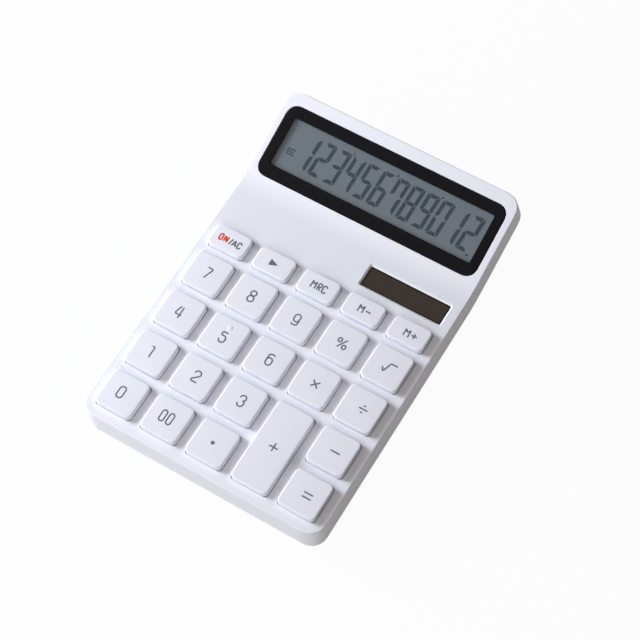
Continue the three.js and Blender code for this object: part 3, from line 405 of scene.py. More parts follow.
CASE_WHITE = plastic("case_white", (237, 239, 246), 0.55, gloss=0.4)
KEY_WHITE = plastic("key_white", (240, 242, 250), 0.48, per_metre=3200.0, bump=0.2, gloss=0.4)
FRAME_BLACK = plastic("frame_black", (17, 17, 19), 0.55, drift=0.1, gloss=0.05)
INNER_PLASTIC = plastic("inner_plastic", (201, 204, 208), 0.6)
KEYPAD_RUBBER = plastic("keypad_rubber", (154, 157, 163), 0.8, drift=0.08, per_metre=1500.0)
FOOT_RUBBER = plastic("foot_rubber", (52, 52, 55), 0.85, drift=0.25, per_metre=1200.0, bump=0.5, gloss=0.3)
LEAD_RED = plastic("lead_red", (179, 38, 30), 0.4)
LEAD_BLACK = plastic("lead_black", (28, 28, 30), 0.4)
BATTERY_SKIN = plastic("battery_skin", (107, 112, 118), 0.35, drift=0.08)
SIGN_GREY = plastic("sign_grey", (105, 109, 124), 0.6, drift=0.15, gloss=0.2)
SIGN_ORANGE = plastic("sign_orange", (216, 70, 32), 0.6, drift=0.15, gloss=0.2)
SEGMENT_DARK = plastic("segment_dark", (45, 57, 67), 0.5, drift=0.1, gloss=0.05)
print("moulded finishes", len(bpy.data.materials))

# %% [markdown]
# ### Smooth sheets
# Glass, film, resin and bare metal are smooth, but wiping leaves slow patches where the gloss changes. One
# broad noise moves the roughness and the colour a little. It makes no bump, so reflections stay straight.

# %% Group: wiped gloss
wiped, given, out = new_group("wiped_gloss", {
    "Colour": (0.2, 0.2, 0.2, 1), "Drift": 0.06, "Roughness": 0.1, "Roughness spread": 0.08,
})
place = add(wiped, "TexCoord").outputs["Object"]
patches = add(wiped, "TexNoise", {"Vector": place, "Scale": 60.0, "Detail": 4.0, "Distortion": 0.4})
drive_outputs(wiped, given, out, patches.outputs["Fac"], patches.outputs["Fac"])


# %% Finish: smooth sheet
def smooth_sheet(name, colour, roughness, spread=0.06, gloss=0.5, metallic=0.0):
    """A smooth surface, from the wiped group."""
    return finish(name, wiped, colour, {"Roughness": roughness, "Roughness spread": spread}, gloss, metallic)


def canvas(material):
    """What a drawing on a finish starts from: its nodes, the object's coordinates and its own colour."""
    tree = material.node_tree
    effect = next(node for node in tree.nodes if node.type == "GROUP")
    return tree, add(tree, "TexCoord").outputs["Object"], effect.outputs["Colour"]


def paint(tree, colour):
    """Lead a drawn colour to the shader, in place of the group's own."""
    tree.links.new(colour, tree.nodes["Principled BSDF"].inputs["Base Color"])


LCD_GLASS = smooth_sheet("lcd_glass", (100, 109, 116), 0.5, gloss=0.1)
CHIP_RESIN = smooth_sheet("chip_resin", (21, 21, 23), 0.12)
STEEL = smooth_sheet("steel", (185, 188, 192), 0.28, spread=0.25, metallic=1.0)

# %% [markdown]
# ### The clear sheet over the display
# A glass shader alone would throw a full shadow on the display behind it, because Cycles doesn't bend lamp
# light through a closed sheet. So lamp rays and soft light meet a transparent shader instead, and only
# the camera and mirror rays meet the glass.

# %% Finish: clear sheet
CLEAR_SHEET = smooth_sheet("clear_sheet", (255, 255, 255), 0.01, spread=0.01, gloss=0.2)
tree = CLEAR_SHEET.node_tree
shader = tree.nodes["Principled BSDF"]
shader.inputs["Transmission Weight"].default_value = 1.0
shader.inputs["IOR"].default_value = 1.49
shader.inputs["Specular Tint"].default_value = (0.35, 0.35, 0.35, 1.0)
rays = add(tree, "LightPath")
lamp_ray = math_node(tree, "MAXIMUM", rays.outputs["Is Shadow Ray"], rays.outputs["Is Diffuse Ray"])
clear = add(tree, "BsdfTransparent")
both = add(tree, "MixShader", {0: lamp_ray, 1: shader.outputs[0], 2: clear.outputs[0]})
tree.links.new(both.outputs[0], tree.nodes["Material Output"].inputs["Surface"])

# %% [markdown]
# ### The solar cell
# A small solar cell is dark brown glass with four strips side by side, parted by hair-thin lines, inside
# a blacker rim. A Mapping node turns the object's coordinates into the cell's own, so that the lines
# stay square to the window, and a few comparisons draw them.

# %% Finish: solar glass
cell_centre, cell_half = middle_and_half(deck_points("solar_cell"))
CELL_OVERLAP = MM * np.array([1.85, 1.72])
CELL_RIM = 0.75 * MM
CELL_LINE = 0.12 * MM
CELL_STRIPS = 4
window_half = cell_half[:2] - CELL_OVERLAP
SOLAR_GLASS = smooth_sheet("solar_glass", (56, 45, 37), 0.12, gloss=0.2)
tree, place, brown = canvas(SOLAR_GLASS)
moved = tuple(DECK_AXES @ -on_deck(cell_centre[None])[0])
local = add(tree, "Mapping", {"Vector": place, "Rotation": (-SLOPE, 0, 0), "Location": moved})
split = add(tree, "SeparateXYZ", {0: local.outputs[0]})
across = math_node(tree, "ABSOLUTE", split.outputs["X"])
along = math_node(tree, "ABSOLUTE", split.outputs["Y"])
rim_x = math_node(tree, "GREATER_THAN", across, window_half[0] - CELL_RIM)
rim_y = math_node(tree, "GREATER_THAN", along, window_half[1] - CELL_RIM)
strip = 2 * (window_half[0] - CELL_RIM) / CELL_STRIPS
line = math_node(tree, "LESS_THAN", math_node(tree, "PINGPONG", across, strip / 2), CELL_LINE)
rim = math_node(tree, "MAXIMUM", rim_x, rim_y)
drawn = mix_colour(tree, line, brown, linear(46, 38, 32))
paint(tree, mix_colour(tree, rim, drawn, linear(24, 20, 19)))

# %% [markdown]
# ### The circuit board
# A green board shows its copper through the lacquer as slightly lighter tracks. The mortar lines of a
# brick pattern make a fair maze of tracks, and a loose grid of small dots stands for the plated holes.

# %% Finish: circuit board
HOLES_PER_METRE = 160.0
HOLE_SHARE = 0.09
BOARD_GREEN = smooth_sheet("board_green", (44, 100, 64), 0.3)
tree, place, lacquer = canvas(BOARD_GREEN)
tracks = add(tree, "TexBrick", {
    "Vector": place, "Scale": 1.0, "Mortar Size": 0.35 * MM, "Mortar Smooth": 0.1,
    "Brick Width": 9 * MM, "Row Height": 2.2 * MM,
})
holes = add(tree, "TexVoronoi", {"Vector": place, "Scale": HOLES_PER_METRE, "Randomness": 0.25})
plated = math_node(tree, "LESS_THAN", holes.outputs["Distance"], HOLE_SHARE)
green = mix_colour(tree, tracks.outputs["Fac"], lacquer, linear(70, 138, 84))
paint(tree, mix_colour(tree, plated, green, linear(196, 178, 120)))

# %% [markdown]
# ### The flat cable
# The amber film carries side-by-side copper tracks from the display to the board, drawn by a wave across
# its width.

# %% Finish: flat cable
TRACKS_PER_METRE = 160.0
TRACK_LEVEL = 0.6
CABLE_FILM = smooth_sheet("cable_film", (186, 140, 62), 0.25)
tree, place, amber = canvas(CABLE_FILM)
wave = add(tree, "TexWave", {"Vector": place, "Scale": TRACKS_PER_METRE}, bands_direction="X")
copper = math_node(tree, "GREATER_THAN", wave.outputs["Fac"], TRACK_LEVEL)
paint(tree, mix_colour(tree, copper, amber, linear(150, 84, 44)))
print("finishes", len(bpy.data.materials))

# %% [markdown]
# ### Finishes of the solids that stay
# Flat and hidden parts are right as they are and only get a finish. Their material slot is filled anew.

# %% Dress the solids
FINISHES = {
    "bottom_case": CASE_WHITE, "lcd_panel": LCD_GLASS, "display_lens": CLEAR_SHEET,
    "solar_cell": SOLAR_GLASS, "lcd_holder": INNER_PLASTIC, "lcd_flat_cable": CABLE_FILM,
    "main_board": BOARD_GREEN, "chip_cover": CHIP_RESIN,
    "battery_contact_plus": STEEL, "battery_contact_minus": STEEL,
    "solar_lead_red": LEAD_RED, "battery_lead_red": LEAD_RED,
    "solar_lead_black": LEAD_BLACK, "battery_lead_black": LEAD_BLACK,
}
for node, material in FINISHES.items():
    for slot in frame["nodes"][node].material_slots:
        slot.material = material
print("dressed solids", len(FINISHES))

# %% [markdown]
# ## The upper case
# The white body is one slab of even thickness, bent once between the keys and the display. Its openings
# make a plain box awkward to cut cleanly, so the slab is drawn flat as tiles, like a sheet of stamps: one
# tile holds one key opening, and neighbouring tiles share their edge points. The whole sheet is then bent
# by a formula. A boolean cut would leave thin slivers that catch the light along every opening.

# %% Sizes of the slab
BEND_RADIUS = 30 * MM
SLAB_CORNER = 7.5 * MM
SLAB_EDGE = 0.55 * MM
RIM_EDGE = 0.3 * MM
SIDE_WALL = 2 * MM
DECK_THICKNESS = 2.4 * MM
HOLE_EDGE = 0.15 * MM
slab_half = case_points[:, 0].max()
slab_depth = -((near_front - DECK_ORIGIN) @ UP).min()
bend_start = deck_length - BEND_RADIUS * math.tan(TILT / 2)
bend_end = bend_start + BEND_RADIUS * TILT
slab_length = bend_end + display_length - BEND_RADIUS * math.tan(TILT / 2)
print("slab half width", slab_half, "depth", slab_depth, "flat length", slab_length)


def bent(flat):
    """The flat slab bent: straight to the start, round a circle above it, then straight at the tilt. A
    point turns on an arm of the radius less its height, by how far it is along over the radius."""
    x, s, z = flat.T
    angle = np.clip((s - bend_start) / BEND_RADIUS, 0, TILT)
    before = np.minimum(s, bend_start)
    after = np.maximum(s - bend_end, 0)
    arm = BEND_RADIUS - z
    y = before + arm * np.sin(angle) + after * np.cos(angle)
    height = BEND_RADIUS - arm * np.cos(angle) + after * np.sin(angle)
    return on_deck(np.stack([x, y, height], 1))


# %% Key places, read from the solids
KEY_HEIGHT = deck_points("key_0")[:, 2].max()
KEY_CLEARANCE = 0.22 * MM
KEY_PLAY = MM * np.array([0.1, 0.09])
OPENING_CORNER = 1.8 * MM
key_places = {}
for name in nodes_with("key_"):
    cap = deck_points(name)
    key_places[name] = middle_and_half(cap[cap[:, 2] > KEY_HEIGHT / 3, :2])
centres_x = np.unique([centre[0].round(5) for centre, _ in key_places.values()])
centres_y = np.unique([key_places[name][0][1].round(5) for name in ("key_0", "key_1", "key_4", "key_7")])
print("key columns", centres_x, "rows", centres_y)

# %% Tile boundaries
ROW_MARGIN = 2.05 * MM
BEND_MARGIN = 0.7 * MM
DISPLAY_MARGIN = 0.4 * MM
pitch_x, pitch_y = np.diff(centres_x).mean(), np.diff(centres_y).mean()
edges_x = [*(centres_x - pitch_x / 2), centres_x[-1] + pitch_x / 2]
edges_y = [*(centres_y - pitch_y / 2), centres_y[-1] + pitch_y / 2]
small_y, small_half = key_places["key_mrc"]
edges_y += [small_y[1] + small_half[1] + ROW_MARGIN, bend_start - BEND_MARGIN]
display_start = bend_end + DISPLAY_MARGIN
display_end = slab_length - edges_y[0]
print("tile edges", np.round(edges_x, 5), np.round(edges_y, 5))


def tile_around(centre, half):
    """The tile boundaries that hold a shape: every edge from the last one below it to the first above."""
    spans = []
    for edges, middle, reach in zip((edges_x, edges_y), centre, half):
        edges = np.array(edges)
        first = np.nonzero(edges < middle - reach)[0][-1]
        last = np.nonzero(edges > middle + reach)[0][0]
        spans.append(list(edges[first:last + 1]))
    return spans


def opening(spans, centre, half, radius):
    """A tile with a rounded opening: flat in to the opening, a small quarter round, down the wall, and
    back out underneath."""
    around = ring(*spans)
    wall = outline(around, centre, half, radius)
    return skin([raised(around, 0), *edge_rings(around, centre, half, radius, HOLE_EDGE, 3, 1),
                 raised(wall, -DECK_THICKNESS), raised(around, -DECK_THICKNESS)])


def plain_tile(spans):
    """A tile without an opening, as a top and an underside: rows of eased steps both ways."""
    flat, _, quads = grid(*[np.append(walk(edges), edges[-1]) for edges in spans])
    points = np.concatenate([raised(flat, 0), raised(flat, -DECK_THICKNESS)])
    return points, np.concatenate([quads, quads[:, ::-1] + len(flat)])


# %% Tiles of the keys
tiles = []
for centre, half in key_places.values():
    tiles.append(opening(tile_around(centre, half), centre + KEY_PLAY, half + KEY_CLEARANCE, OPENING_CORNER))
print("tiles of the keys", len(tiles))

# %% Tiles of the solar window and round it
SOLAR_FLARE = 0.78 * MM
SOLAR_DROP = 0.68 * MM
SOLAR_LIP = 0.7 * MM
SOLAR_FIT = 0.3 * MM
FLARE_CORNER = 1.3 * MM
SOLAR_CORNER = 0.6 * MM
POCKET_CORNER = 0.2 * MM
cell_centre, cell_half = cell_centre[:2], cell_half[:2]
around = ring(*tile_around(cell_centre, cell_half))
flare = outline(around, cell_centre, window_half + SOLAR_FLARE, FLARE_CORNER)
window = outline(around, cell_centre, window_half, SOLAR_CORNER)
pocket = outline(around, cell_centre, cell_half + SOLAR_FIT, POCKET_CORNER)
tiles.append(skin([
    raised(around, 0), raised(flare, 0), raised(window, -SOLAR_DROP), raised(window, -SOLAR_LIP),
    raised(pocket, -SOLAR_LIP), raised(pocket, -DECK_THICKNESS), raised(around, -DECK_THICKNESS),
]))
for first, last in zip(edges_x[:3], edges_x[1:4]):
    tiles.append(plain_tile([[first, last], edges_y[-2:]]))
tiles.append(plain_tile([edges_x, [edges_y[-1], display_start]]))

# %% Tile of the display
BEZEL_CORNER = 5.1 * MM
BEZEL_FIT = 0.3 * MM
FACE_LEVEL = -0.1 * MM
bezel = display_points("display_bezel")
bezel_centre, bezel_half = middle_and_half(bezel[bezel[:, 2] > FACE_LEVEL, :2])
unrolled = bezel_centre + [0, bend_end - BEND_RADIUS * math.tan(TILT / 2)]
tiles.append(opening([edges_x, [display_start, display_end]], unrolled, bezel_half + BEZEL_FIT,
                     BEZEL_CORNER + BEZEL_FIT))
print("tiles", len(tiles), "bezel half size", bezel_half)

# %% [markdown]
# The side walls go round the sheet as one more skin: from the underside of the deck down the inside of the
# wall, out along the rim and up the outside, over a soft edge and back in to the tiles.

# %% Side walls and the finished case
around = ring(edges_x, [*edges_y, display_start, display_end])
middle, half = np.array([0, slab_length / 2]), np.array([slab_half, slab_length / 2])
inside = outline(around, middle, half, SLAB_CORNER, -SIDE_WALL)
rim = edge_rings(around, middle, half, SLAB_CORNER, RIM_EDGE, 3, -1)
rim = [level * [1, 1, -1] - [0, 0, slab_depth] for level in rim]
edge = edge_rings(around, middle, half, SLAB_CORNER, SLAB_EDGE, 6, -1)[::-1]
walls = [raised(around, -DECK_THICKNESS), raised(inside, -DECK_THICKNESS), raised(inside, -slab_depth),
         *rim, *edge, raised(around, 0)]
print("rings of the side walls", len(walls))

# %% Screw posts under the deck
POST_RADIUS = 2.5 * MM
POST_HOLE = 1.2 * MM
POST_END = 12.3 * MM
POST_FOOT = 1.2 * MM
SCREW_ROOM = 0.6 * MM
posts, post_places = [], []
for name in nodes_with("case_screw"):
    shank = deck_points(name)
    centre = middle_and_half(shank[:, :2])[0]
    post_places.append(centre)
    hole_top = shank[:, 2].max() + SCREW_ROOM
    profile = [(0, hole_top), (POST_HOLE, hole_top), (POST_HOLE, -POST_END), (POST_RADIUS, -POST_END),
               (POST_RADIUS, -POST_FOOT), (0, -POST_FOOT)]
    posts.append(turned(profile, centre))
shell = [(bent(points), quads) for points, quads in [*tiles, skin(walls)]]
shell += [(on_deck(points), quads) for points, quads in posts]
upper_case = make_piece("case_shell", shell, "case", CASE_WHITE, ["upper_case"])
print("upper case corners", len(upper_case.data.vertices))

# %% [markdown]
# ## The keys
# Each key is a hollow cap with a soft upper edge and a faint crown, a skirt that keeps it in the case, and
# a plunger on the rubber dome. One function carries the ring from the plunger's tip all the way round to
# the middle of the top. The crown is written as a formula, because the printed signs need it as well.

# %% The crown of a key
CROWN = 0.12 * MM
KEY_CORNER = 2.2 * MM
KEY_EDGE = 0.55 * MM
KEY_WALL = 1.3 * MM
KEY_ROOF = 1.5 * MM
SKIRT_TOP = 2.7 * MM
SKIRT_BOTTOM = 3.7 * MM
SKIRT_REACH = 1.15 * MM
PLUNGER_RADIUS = 2.2 * MM
PLUNGER_TIP = 6 * MM
PLUNGER_SOFT = 0.3 * MM
TIP_SHARE = 0.85
PART_LENGTH = 10 * MM
KEY_MARGIN = 1 * MM
TOP_PARTS = (0.9, 0.75, 0.6, 0.45, 0.3, 0.15, 0)


def crown(flat, half):
    """Height of a key's top: full height in the middle, less a fall that grows as the square of the way
    to each edge."""
    u, v = (flat / half).T
    return KEY_HEIGHT - CROWN * (1 - (1 - u ** 2) * (1 - v ** 2))


def cap_skin(half):
    """A key round its own middle: plunger tip and wall, roof inside, skirt, outer wall, a quarter round
    whose top follows the crown, and rings that shrink to the middle of the top."""
    grown = half + KEY_MARGIN
    length_parts = max(1, round(half[1] / PART_LENGTH))
    around = ring([-grown[0], grown[0]], np.linspace(-grown[1], grown[1], length_parts + 1))
    middle = np.zeros(2)
    wall = outline(around, middle, half, KEY_CORNER)
    inside = outline(around, middle, half, KEY_CORNER, -KEY_WALL)
    skirt = outline(around, middle, half, KEY_CORNER, SKIRT_REACH)
    roof = KEY_HEIGHT - KEY_ROOF
    round_rod = outline(around, middle, np.full(2, PLUNGER_RADIUS), PLUNGER_RADIUS)
    levels = [raised(0 * around, -PLUNGER_TIP), raised(TIP_SHARE * round_rod, -PLUNGER_TIP),
              raised(round_rod, PLUNGER_SOFT - PLUNGER_TIP), raised(round_rod, roof), raised(inside, roof),
              raised(inside, -SKIRT_BOTTOM), raised(skirt, -SKIRT_BOTTOM), raised(skirt, -SKIRT_TOP),
              raised(wall, -SKIRT_TOP)]
    for level in edge_rings(around, middle, half, KEY_CORNER, KEY_EDGE, 8, -1)[::-1]:
        level[:, 2] += crown(level[:, :2], half)
        levels.append(level)
    for part in TOP_PARTS:
        flat = part * level[:, :2]
        levels.append(raised(flat, crown(flat, half)))
    return skin(levels)


# %% The nib on the 5
NIB_RADIUS = 1.3 * MM
NIB_HEIGHT = 0.17 * MM
NIB_PLACE = MM * np.array([0.35, 4.4])
NIB_ROOT = 0.2 * MM


def nib_skin(half):
    """A low dome: cosine of an even angle out, sine up, closed a little way inside the cap."""
    ground = crown(NIB_PLACE[None], half)[0]
    angle = np.linspace(0, np.pi / 2, 7)
    profile = [(0, ground - NIB_ROOT), (NIB_RADIUS, ground - NIB_ROOT)]
    profile += [(NIB_RADIUS * math.cos(a), ground + NIB_HEIGHT * math.sin(a)) for a in angle]
    return turned(profile, NIB_PLACE)


# %% Make every key
for name, (centre, half) in key_places.items():
    skins = [cap_skin(half)] + ([nib_skin(half)] if name == "key_5" else [])
    make_piece(name.replace("key", "cap"), skins, name, KEY_WHITE, [name], on_deck, centre)
print("keys", len(key_places), "corners of one", len(skins[0][0]))

# %% [markdown]
# ## The printed signs
# The signs are printed in a thin rounded pen line, so each one is written as the pen would go: corners
# joined by straight runs, each corner rounded by its own radius. A font would be quicker, but the digits
# here are open and narrow in their own way, and a pen line of constant width follows them exactly.

# %% The pen's path
PEN = 0.335 * MM
BOLD_PEN = 0.4 * MM
INK = 0.02 * MM
INK_STEP = 0.002 * MM
ARC_STEPS = 8
SAME_PLACE = 1e-9


def pen_path(corners, closed=False):
    """Straight runs whose corners are rounded: from the point where the arc touches the first run, the arc
    adds sine of the turned angle along that run and one minus its cosine along the side the path turns to,
    times the radius."""
    corners = [(*corner, 0)[:3] for corner in corners]
    spots = [np.array(corner[:2], float) for corner in corners]
    count = len(spots)
    path = []
    for i, (spot, (_, _, radius)) in enumerate(zip(spots, corners)):
        if not closed and i in (0, count - 1):
            path.append(spot[None])
            continue
        run_in = spot - spots[i - 1]
        run_out = spots[(i + 1) % count] - spot
        run_in /= np.linalg.norm(run_in)
        run_out /= np.linalg.norm(run_out)
        turn = math.acos(np.clip(run_in @ run_out, -1, 1))
        side = run_out - run_in * (run_in @ run_out)
        side /= np.linalg.norm(side)
        angle = np.linspace(0, turn, max(3, int(turn * ARC_STEPS)))[:, None]
        start = spot - run_in * radius * math.tan(turn / 2)
        path.append(start + radius * (np.sin(angle) * run_in + (1 - np.cos(angle)) * side))
    path = np.concatenate(path)
    return np.concatenate([path, path[:1]]) if closed else path


# %% The ink line
def ink_line(path, height, lift, half_width):
    """A flat ribbon along a path. Its half width is the pen's, and near an open end it follows a circle:
    the pen times the root of one less the squared missing part. Each ring has two edges below the
    surface and two above it."""
    steps = np.linalg.norm(np.diff(path, axis=0), axis=1)
    moved = steps > SAME_PLACE
    path = path[np.append(True, moved)]
    along = np.append(0, np.cumsum(steps[moved]))
    closed = np.allclose(path[0], path[-1])
    if closed:
        spots, width = path[:-1], np.full(len(path) - 1, half_width)
        ahead, behind = np.roll(spots, -1, 0), np.roll(spots, 1, 0)
    else:
        cap = min(half_width, along[-1] / 2)
        ends = cap * (1 - np.cos(np.linspace(0, np.pi / 2, 6)))
        where = np.unique(np.concatenate([along, ends, along[-1] - ends]).round(9))
        spots = np.stack([np.interp(where, along, path[:, k]) for k in (0, 1)], 1)
        missing = 1 - np.minimum(np.minimum(where, where[-1] - where), cap) / cap
        width = half_width * np.sqrt(np.maximum(0, 1 - missing ** 2))
        ahead, behind = np.append(spots[1:], spots[-1:], 0), np.append(spots[:1], spots[:-1], 0)
    heading = ahead - behind
    heading /= np.linalg.norm(heading, axis=1, keepdims=True)
    aside = np.stack([-heading[:, 1], heading[:, 0]], 1) * width[:, None]
    left, right = spots + aside, spots - aside
    levels = np.stack([raised(left, height(left) - INK), raised(left, height(left) + lift),
                       raised(right, height(right) + lift), raised(right, height(right) - INK)], 1)
    if closed:
        levels = np.concatenate([levels, levels[:1]])
    return skin(list(levels))


def ink_spot(rim, height, lift):
    """A filled shape: its rim below and above the surface, each closed to the shape's middle."""
    middle = np.repeat(rim.mean(0, keepdims=True), len(rim), 0)
    return skin([raised(middle, height(middle) - INK), raised(rim, height(rim) - INK),
                 raised(rim, height(rim) + lift), raised(middle, height(middle) + lift)])


# %% [markdown]
# Each sign below is a list of strokes in millimetres from the middle of its key, with a third number for
# the radius of a rounded corner. A stroke that ends in the word "closed" comes back to its start.


# %% Shapes that several signs share
def oval(x, y, half_x, half_y, radius):
    """A closed stroke: a rectangle with its corners rounded."""
    return [(x - half_x, y - half_y, radius), (x + half_x, y - half_y, radius),
            (x + half_x, y + half_y, radius), (x - half_x, y + half_y, radius), "closed"]


def letter_m(left, right, bottom, top, middle):
    """An M: two stems, and two strokes down to the middle."""
    dip = ((left + right) / 2, middle)
    return [[(left, bottom), (left, top)], [(left, top), dip], [dip, (right, top)],
            [(right, top), (right, bottom)]]


def letter_c(left, right, bottom, top):
    """A C: a stroke round three sides with soft corners, its ends turned in."""
    turn, lip = 0.75, 0.95
    return [[(right, top - lip), (right, top, turn), (left, top, turn), (left, bottom, turn),
             (right, bottom, turn), (right, bottom + lip)]]


# %% The strokes of every sign
STROKES = {
    "key_0": [oval(-0.72, 0.02, 1.4, 2.72, 1.25)],
    "key_00": [oval(-2.05, 0, 1.08, 2.68, 1.05), oval(1.48, 0, 1.08, 2.68, 1.05)],
    "key_1": [[(-1.2, 2.7), (0.2, 2.7, 0.55), (0.2, -2.85)]],
    "key_2": [[(-1.15, 1.15), (-1.15, 2.67, 1.4), (1.72, 2.67, 1.4), (1.72, 0.75, 0.9), (-1.1, -1.75, 0.5),
               (-1.15, -2.65)], [(-1.15, -2.67), (1.88, -2.67)]],
    "key_3": [[(-1.0, 1.1), (-1.0, 2.68, 1.35), (1.7, 2.68, 1.35), (1.7, 0.2, 1.1), (0.6, 0.2)],
              [(0.6, 0.2), (1.8, 0.2, 1.15), (1.8, -2.7, 1.4), (-1.05, -2.7, 1.4), (-1.05, -1.2)]],
    "key_4": [[(-0.5, 2.9), (-1.85, -1.3, 0.6), (1.55, -1.3)], [(0.62, 2.75), (0.62, -3.05)]],
    "key_5": [[(1.4, 1.62), (-1.2, 1.62)], [(-1.2, 1.62), (-1.2, -0.1)],
              [(-1.2, -0.1), (1.5, -0.1, 1.35), (1.5, -3.5, 1.45), (-1.28, -3.5, 1.35), (-1.28, -2.0)]],
    "key_6": [oval(0.43, -0.88, 1.35, 1.8, 1.33),
              [(1.6, 2.1), (1.4, 2.75, 0.6), (-0.92, 2.75, 1.3), (-0.92, -0.9)]],
    "key_7": [[(-1.25, 2.5), (1.62, 2.5, 0.55), (-0.32, -2.95)]],
    "key_8": [oval(0.35, 1.42, 1.3, 1.25, 1.24), oval(0.3, -1.45, 1.48, 1.48, 1.45)],
    "key_9": [oval(0.27, 0.63, 1.35, 1.85, 1.33),
              [(1.62, 0.6), (1.62, -2.95, 1.3), (-0.7, -2.95, 0.6), (-0.95, -2.3)]],
    "key_plus": [[(-1.75, -0.16), (2.6, -0.16)], [(0.46, 2.05), (0.46, -2.15)]],
    "key_minus": [[(-1.25, -0.3), (3.4, -0.3)]],
    "key_multiply": [[(-1.15, 1.52), (2.2, -1.65)], [(2.2, 1.52), (-1.15, -1.65)]],
    "key_divide": [[(-0.9, 0.07), (3.35, 0.07)]],
    "key_equals": [[(-1.05, 0.62), (3.4, 0.62)], [(-1.05, -1.43), (3.4, -1.43)]],
    "key_percent": [oval(-1.07, 1.0, 0.82, 0.98, 0.81), oval(2.0, -1.5, 0.82, 0.98, 0.81),
                    [(2.0, 2.25), (-0.95, -2.6)]],
    "key_root": [[(-1.88, -0.6), (-0.95, -2.55)], [(-0.95, -2.55), (-0.62, -2.55)],
                 [(-0.62, -2.55), (0.82, 2.0)], [(0.82, 2.0), (4.05, 2.0)]],
    "key_mrc": [*letter_m(-3.12, -1.1, -2.1, 1.5, -0.2), [(0.08, -2.1), (0.08, 1.5)],
                [(0.08, 1.5), (1.5, 1.5, 0.7), (1.5, -0.4, 0.9), (0.08, -0.4)], [(0.75, -0.4), (1.42, -2.1)],
                *letter_c(2.4, 4.0, -2.1, 1.5)],
    "key_m_minus": [*letter_m(-2.02, 0.15, -2.05, 1.55, -0.15), [(1.35, -0.28), (3.85, -0.28)]],
    "key_m_plus": [*letter_m(-1.85, 0.36, -2.35, 1.25, -0.3), [(1.45, -0.5), (4.1, -0.5)],
                   [(2.75, 0.8), (2.75, -1.75)]],
    "key_on_ac": [[(0.98, 1.25), (0.12, -2.05)], [(1.5, -1.9), (2.42, 1.15)], [(2.42, 1.15), (3.4, -1.9)],
                  [(1.8, -1.0), (3.1, -1.0)], *letter_c(4.12, 5.62, -1.9, 1.1)],
}
ON_STROKES = [oval(-4.52, -0.2, 0.72, 1.52, 0.7), [(-2.68, -1.7), (-2.68, 1.25)],
              [(-2.68, 1.25), (-1.22, -1.7)], [(-1.22, -1.7), (-1.22, 1.25)]]
DOTS = {"key_point": [(0.09, -0.04, 0.88)], "key_divide": [(1.15, 1.68, 0.46), (1.15, -1.6, 0.46)]}
ARROW = [(-1.95, 1.35), (-1.95, -2.0), (2.3, -0.35)]
ARROW_CORNER = 0.12


# %% Print the signs on their keys
def print_sign(name, key, strokes, material, dots=(), arrow=None, pen=PEN):
    """All strokes of one sign as one piece. Each stroke lies a hair above the last, so that crossing
    lines never share a plane."""
    centre, half = key_places[key]

    def height(flat):
        """The top of this key."""
        return crown(flat, half)

    skins = []
    for stroke in strokes:
        closed = stroke[-1] == "closed"
        path = MM * pen_path(stroke[:-1] if closed else stroke, closed)
        skins.append(ink_line(path, height, INK + INK_STEP * len(skins), pen))
    for x, y, radius in dots:
        skins.append(ink_spot(MM * circle(np.array([x, y]), radius, 24), height, INK))
    if arrow:
        corners = [(x, y, ARROW_CORNER) for x, y in arrow]
        skins.append(ink_spot(MM * pen_path(corners, True)[:-1], height, INK))
    make_piece(name, skins, key, material, place=on_deck, centre=centre, turn_out=True)


for key in key_places:
    if key in STROKES or key in DOTS:
        print_sign(key.replace("key", "sign"), key, STROKES.get(key, []), SIGN_GREY, DOTS.get(key, ()))
print_sign("sign_on", "key_on_ac", ON_STROKES, SIGN_ORANGE, pen=BOLD_PEN)
print_sign("sign_arrow", "key_delete", [], SIGN_GREY, arrow=ARROW)

# %% [markdown]
# ## The rubber keypad
# A hollow rubber dome under every key holds it up, and folds when the key is pressed. So the domes are
# pieces of their own. The sheet below them has a hole under each dome and one round each screw post that it
# meets. With so many holes, tiles would be laborious: Blender triangulates the sheet between its rims
# instead, and as it is flat and dull, its long thin triangles
# never show.

# %% Keypad sheet
PAD_CORNER = 3 * MM
PAD_MARGIN = 1 * MM
POST_FIT = 0.4 * MM
pad = deck_points("rubber_keypad")
pad_bottom, pad_top, dome_inside, dome_top = np.unique(pad[:, 2].round(5))
pad_middle, pad_half = middle_and_half(pad[:, :2])
DOME_BASE = 4.2 * MM
DOME_TOP = 2.7 * MM
DOME_WALL = 0.8 * MM


def plate(rims, bottom, top):
    """A flat plate between closed rims, of which the first is outside: its triangles on top, the same
    underneath, and a wall from each rim's points to the ones below them. A triangle with all three
    corners on the rim of one hole lies inside that hole, and is left out."""
    flat = np.concatenate(rims)
    starts = np.cumsum([0] + [len(rim) for rim in rims])
    runs = np.concatenate([np.stack([np.arange(a, b), np.roll(np.arange(a, b), -1)], 1)
                           for a, b in zip(starts, starts[1:])])
    spots = [Vector(spot) for spot in flat]
    triangles = np.array(delaunay_2d_cdt(spots, runs.tolist(), [], 1, SAME_PLACE)[2])
    rim_of = np.repeat(np.arange(len(rims)), [len(rim) for rim in rims])[triangles]
    in_hole = (rim_of[:, 0] > 0) & (rim_of == rim_of[:, :1]).all(1)
    triangles = triangles[~in_hole]
    points = np.concatenate([raised(flat, top), raised(flat, bottom)])
    under = triangles[:, ::-1] + len(flat)
    walls = np.concatenate([runs[:, ::-1], runs + len(flat)], 1)
    return [(points, triangles), (points, under), (points, walls)]


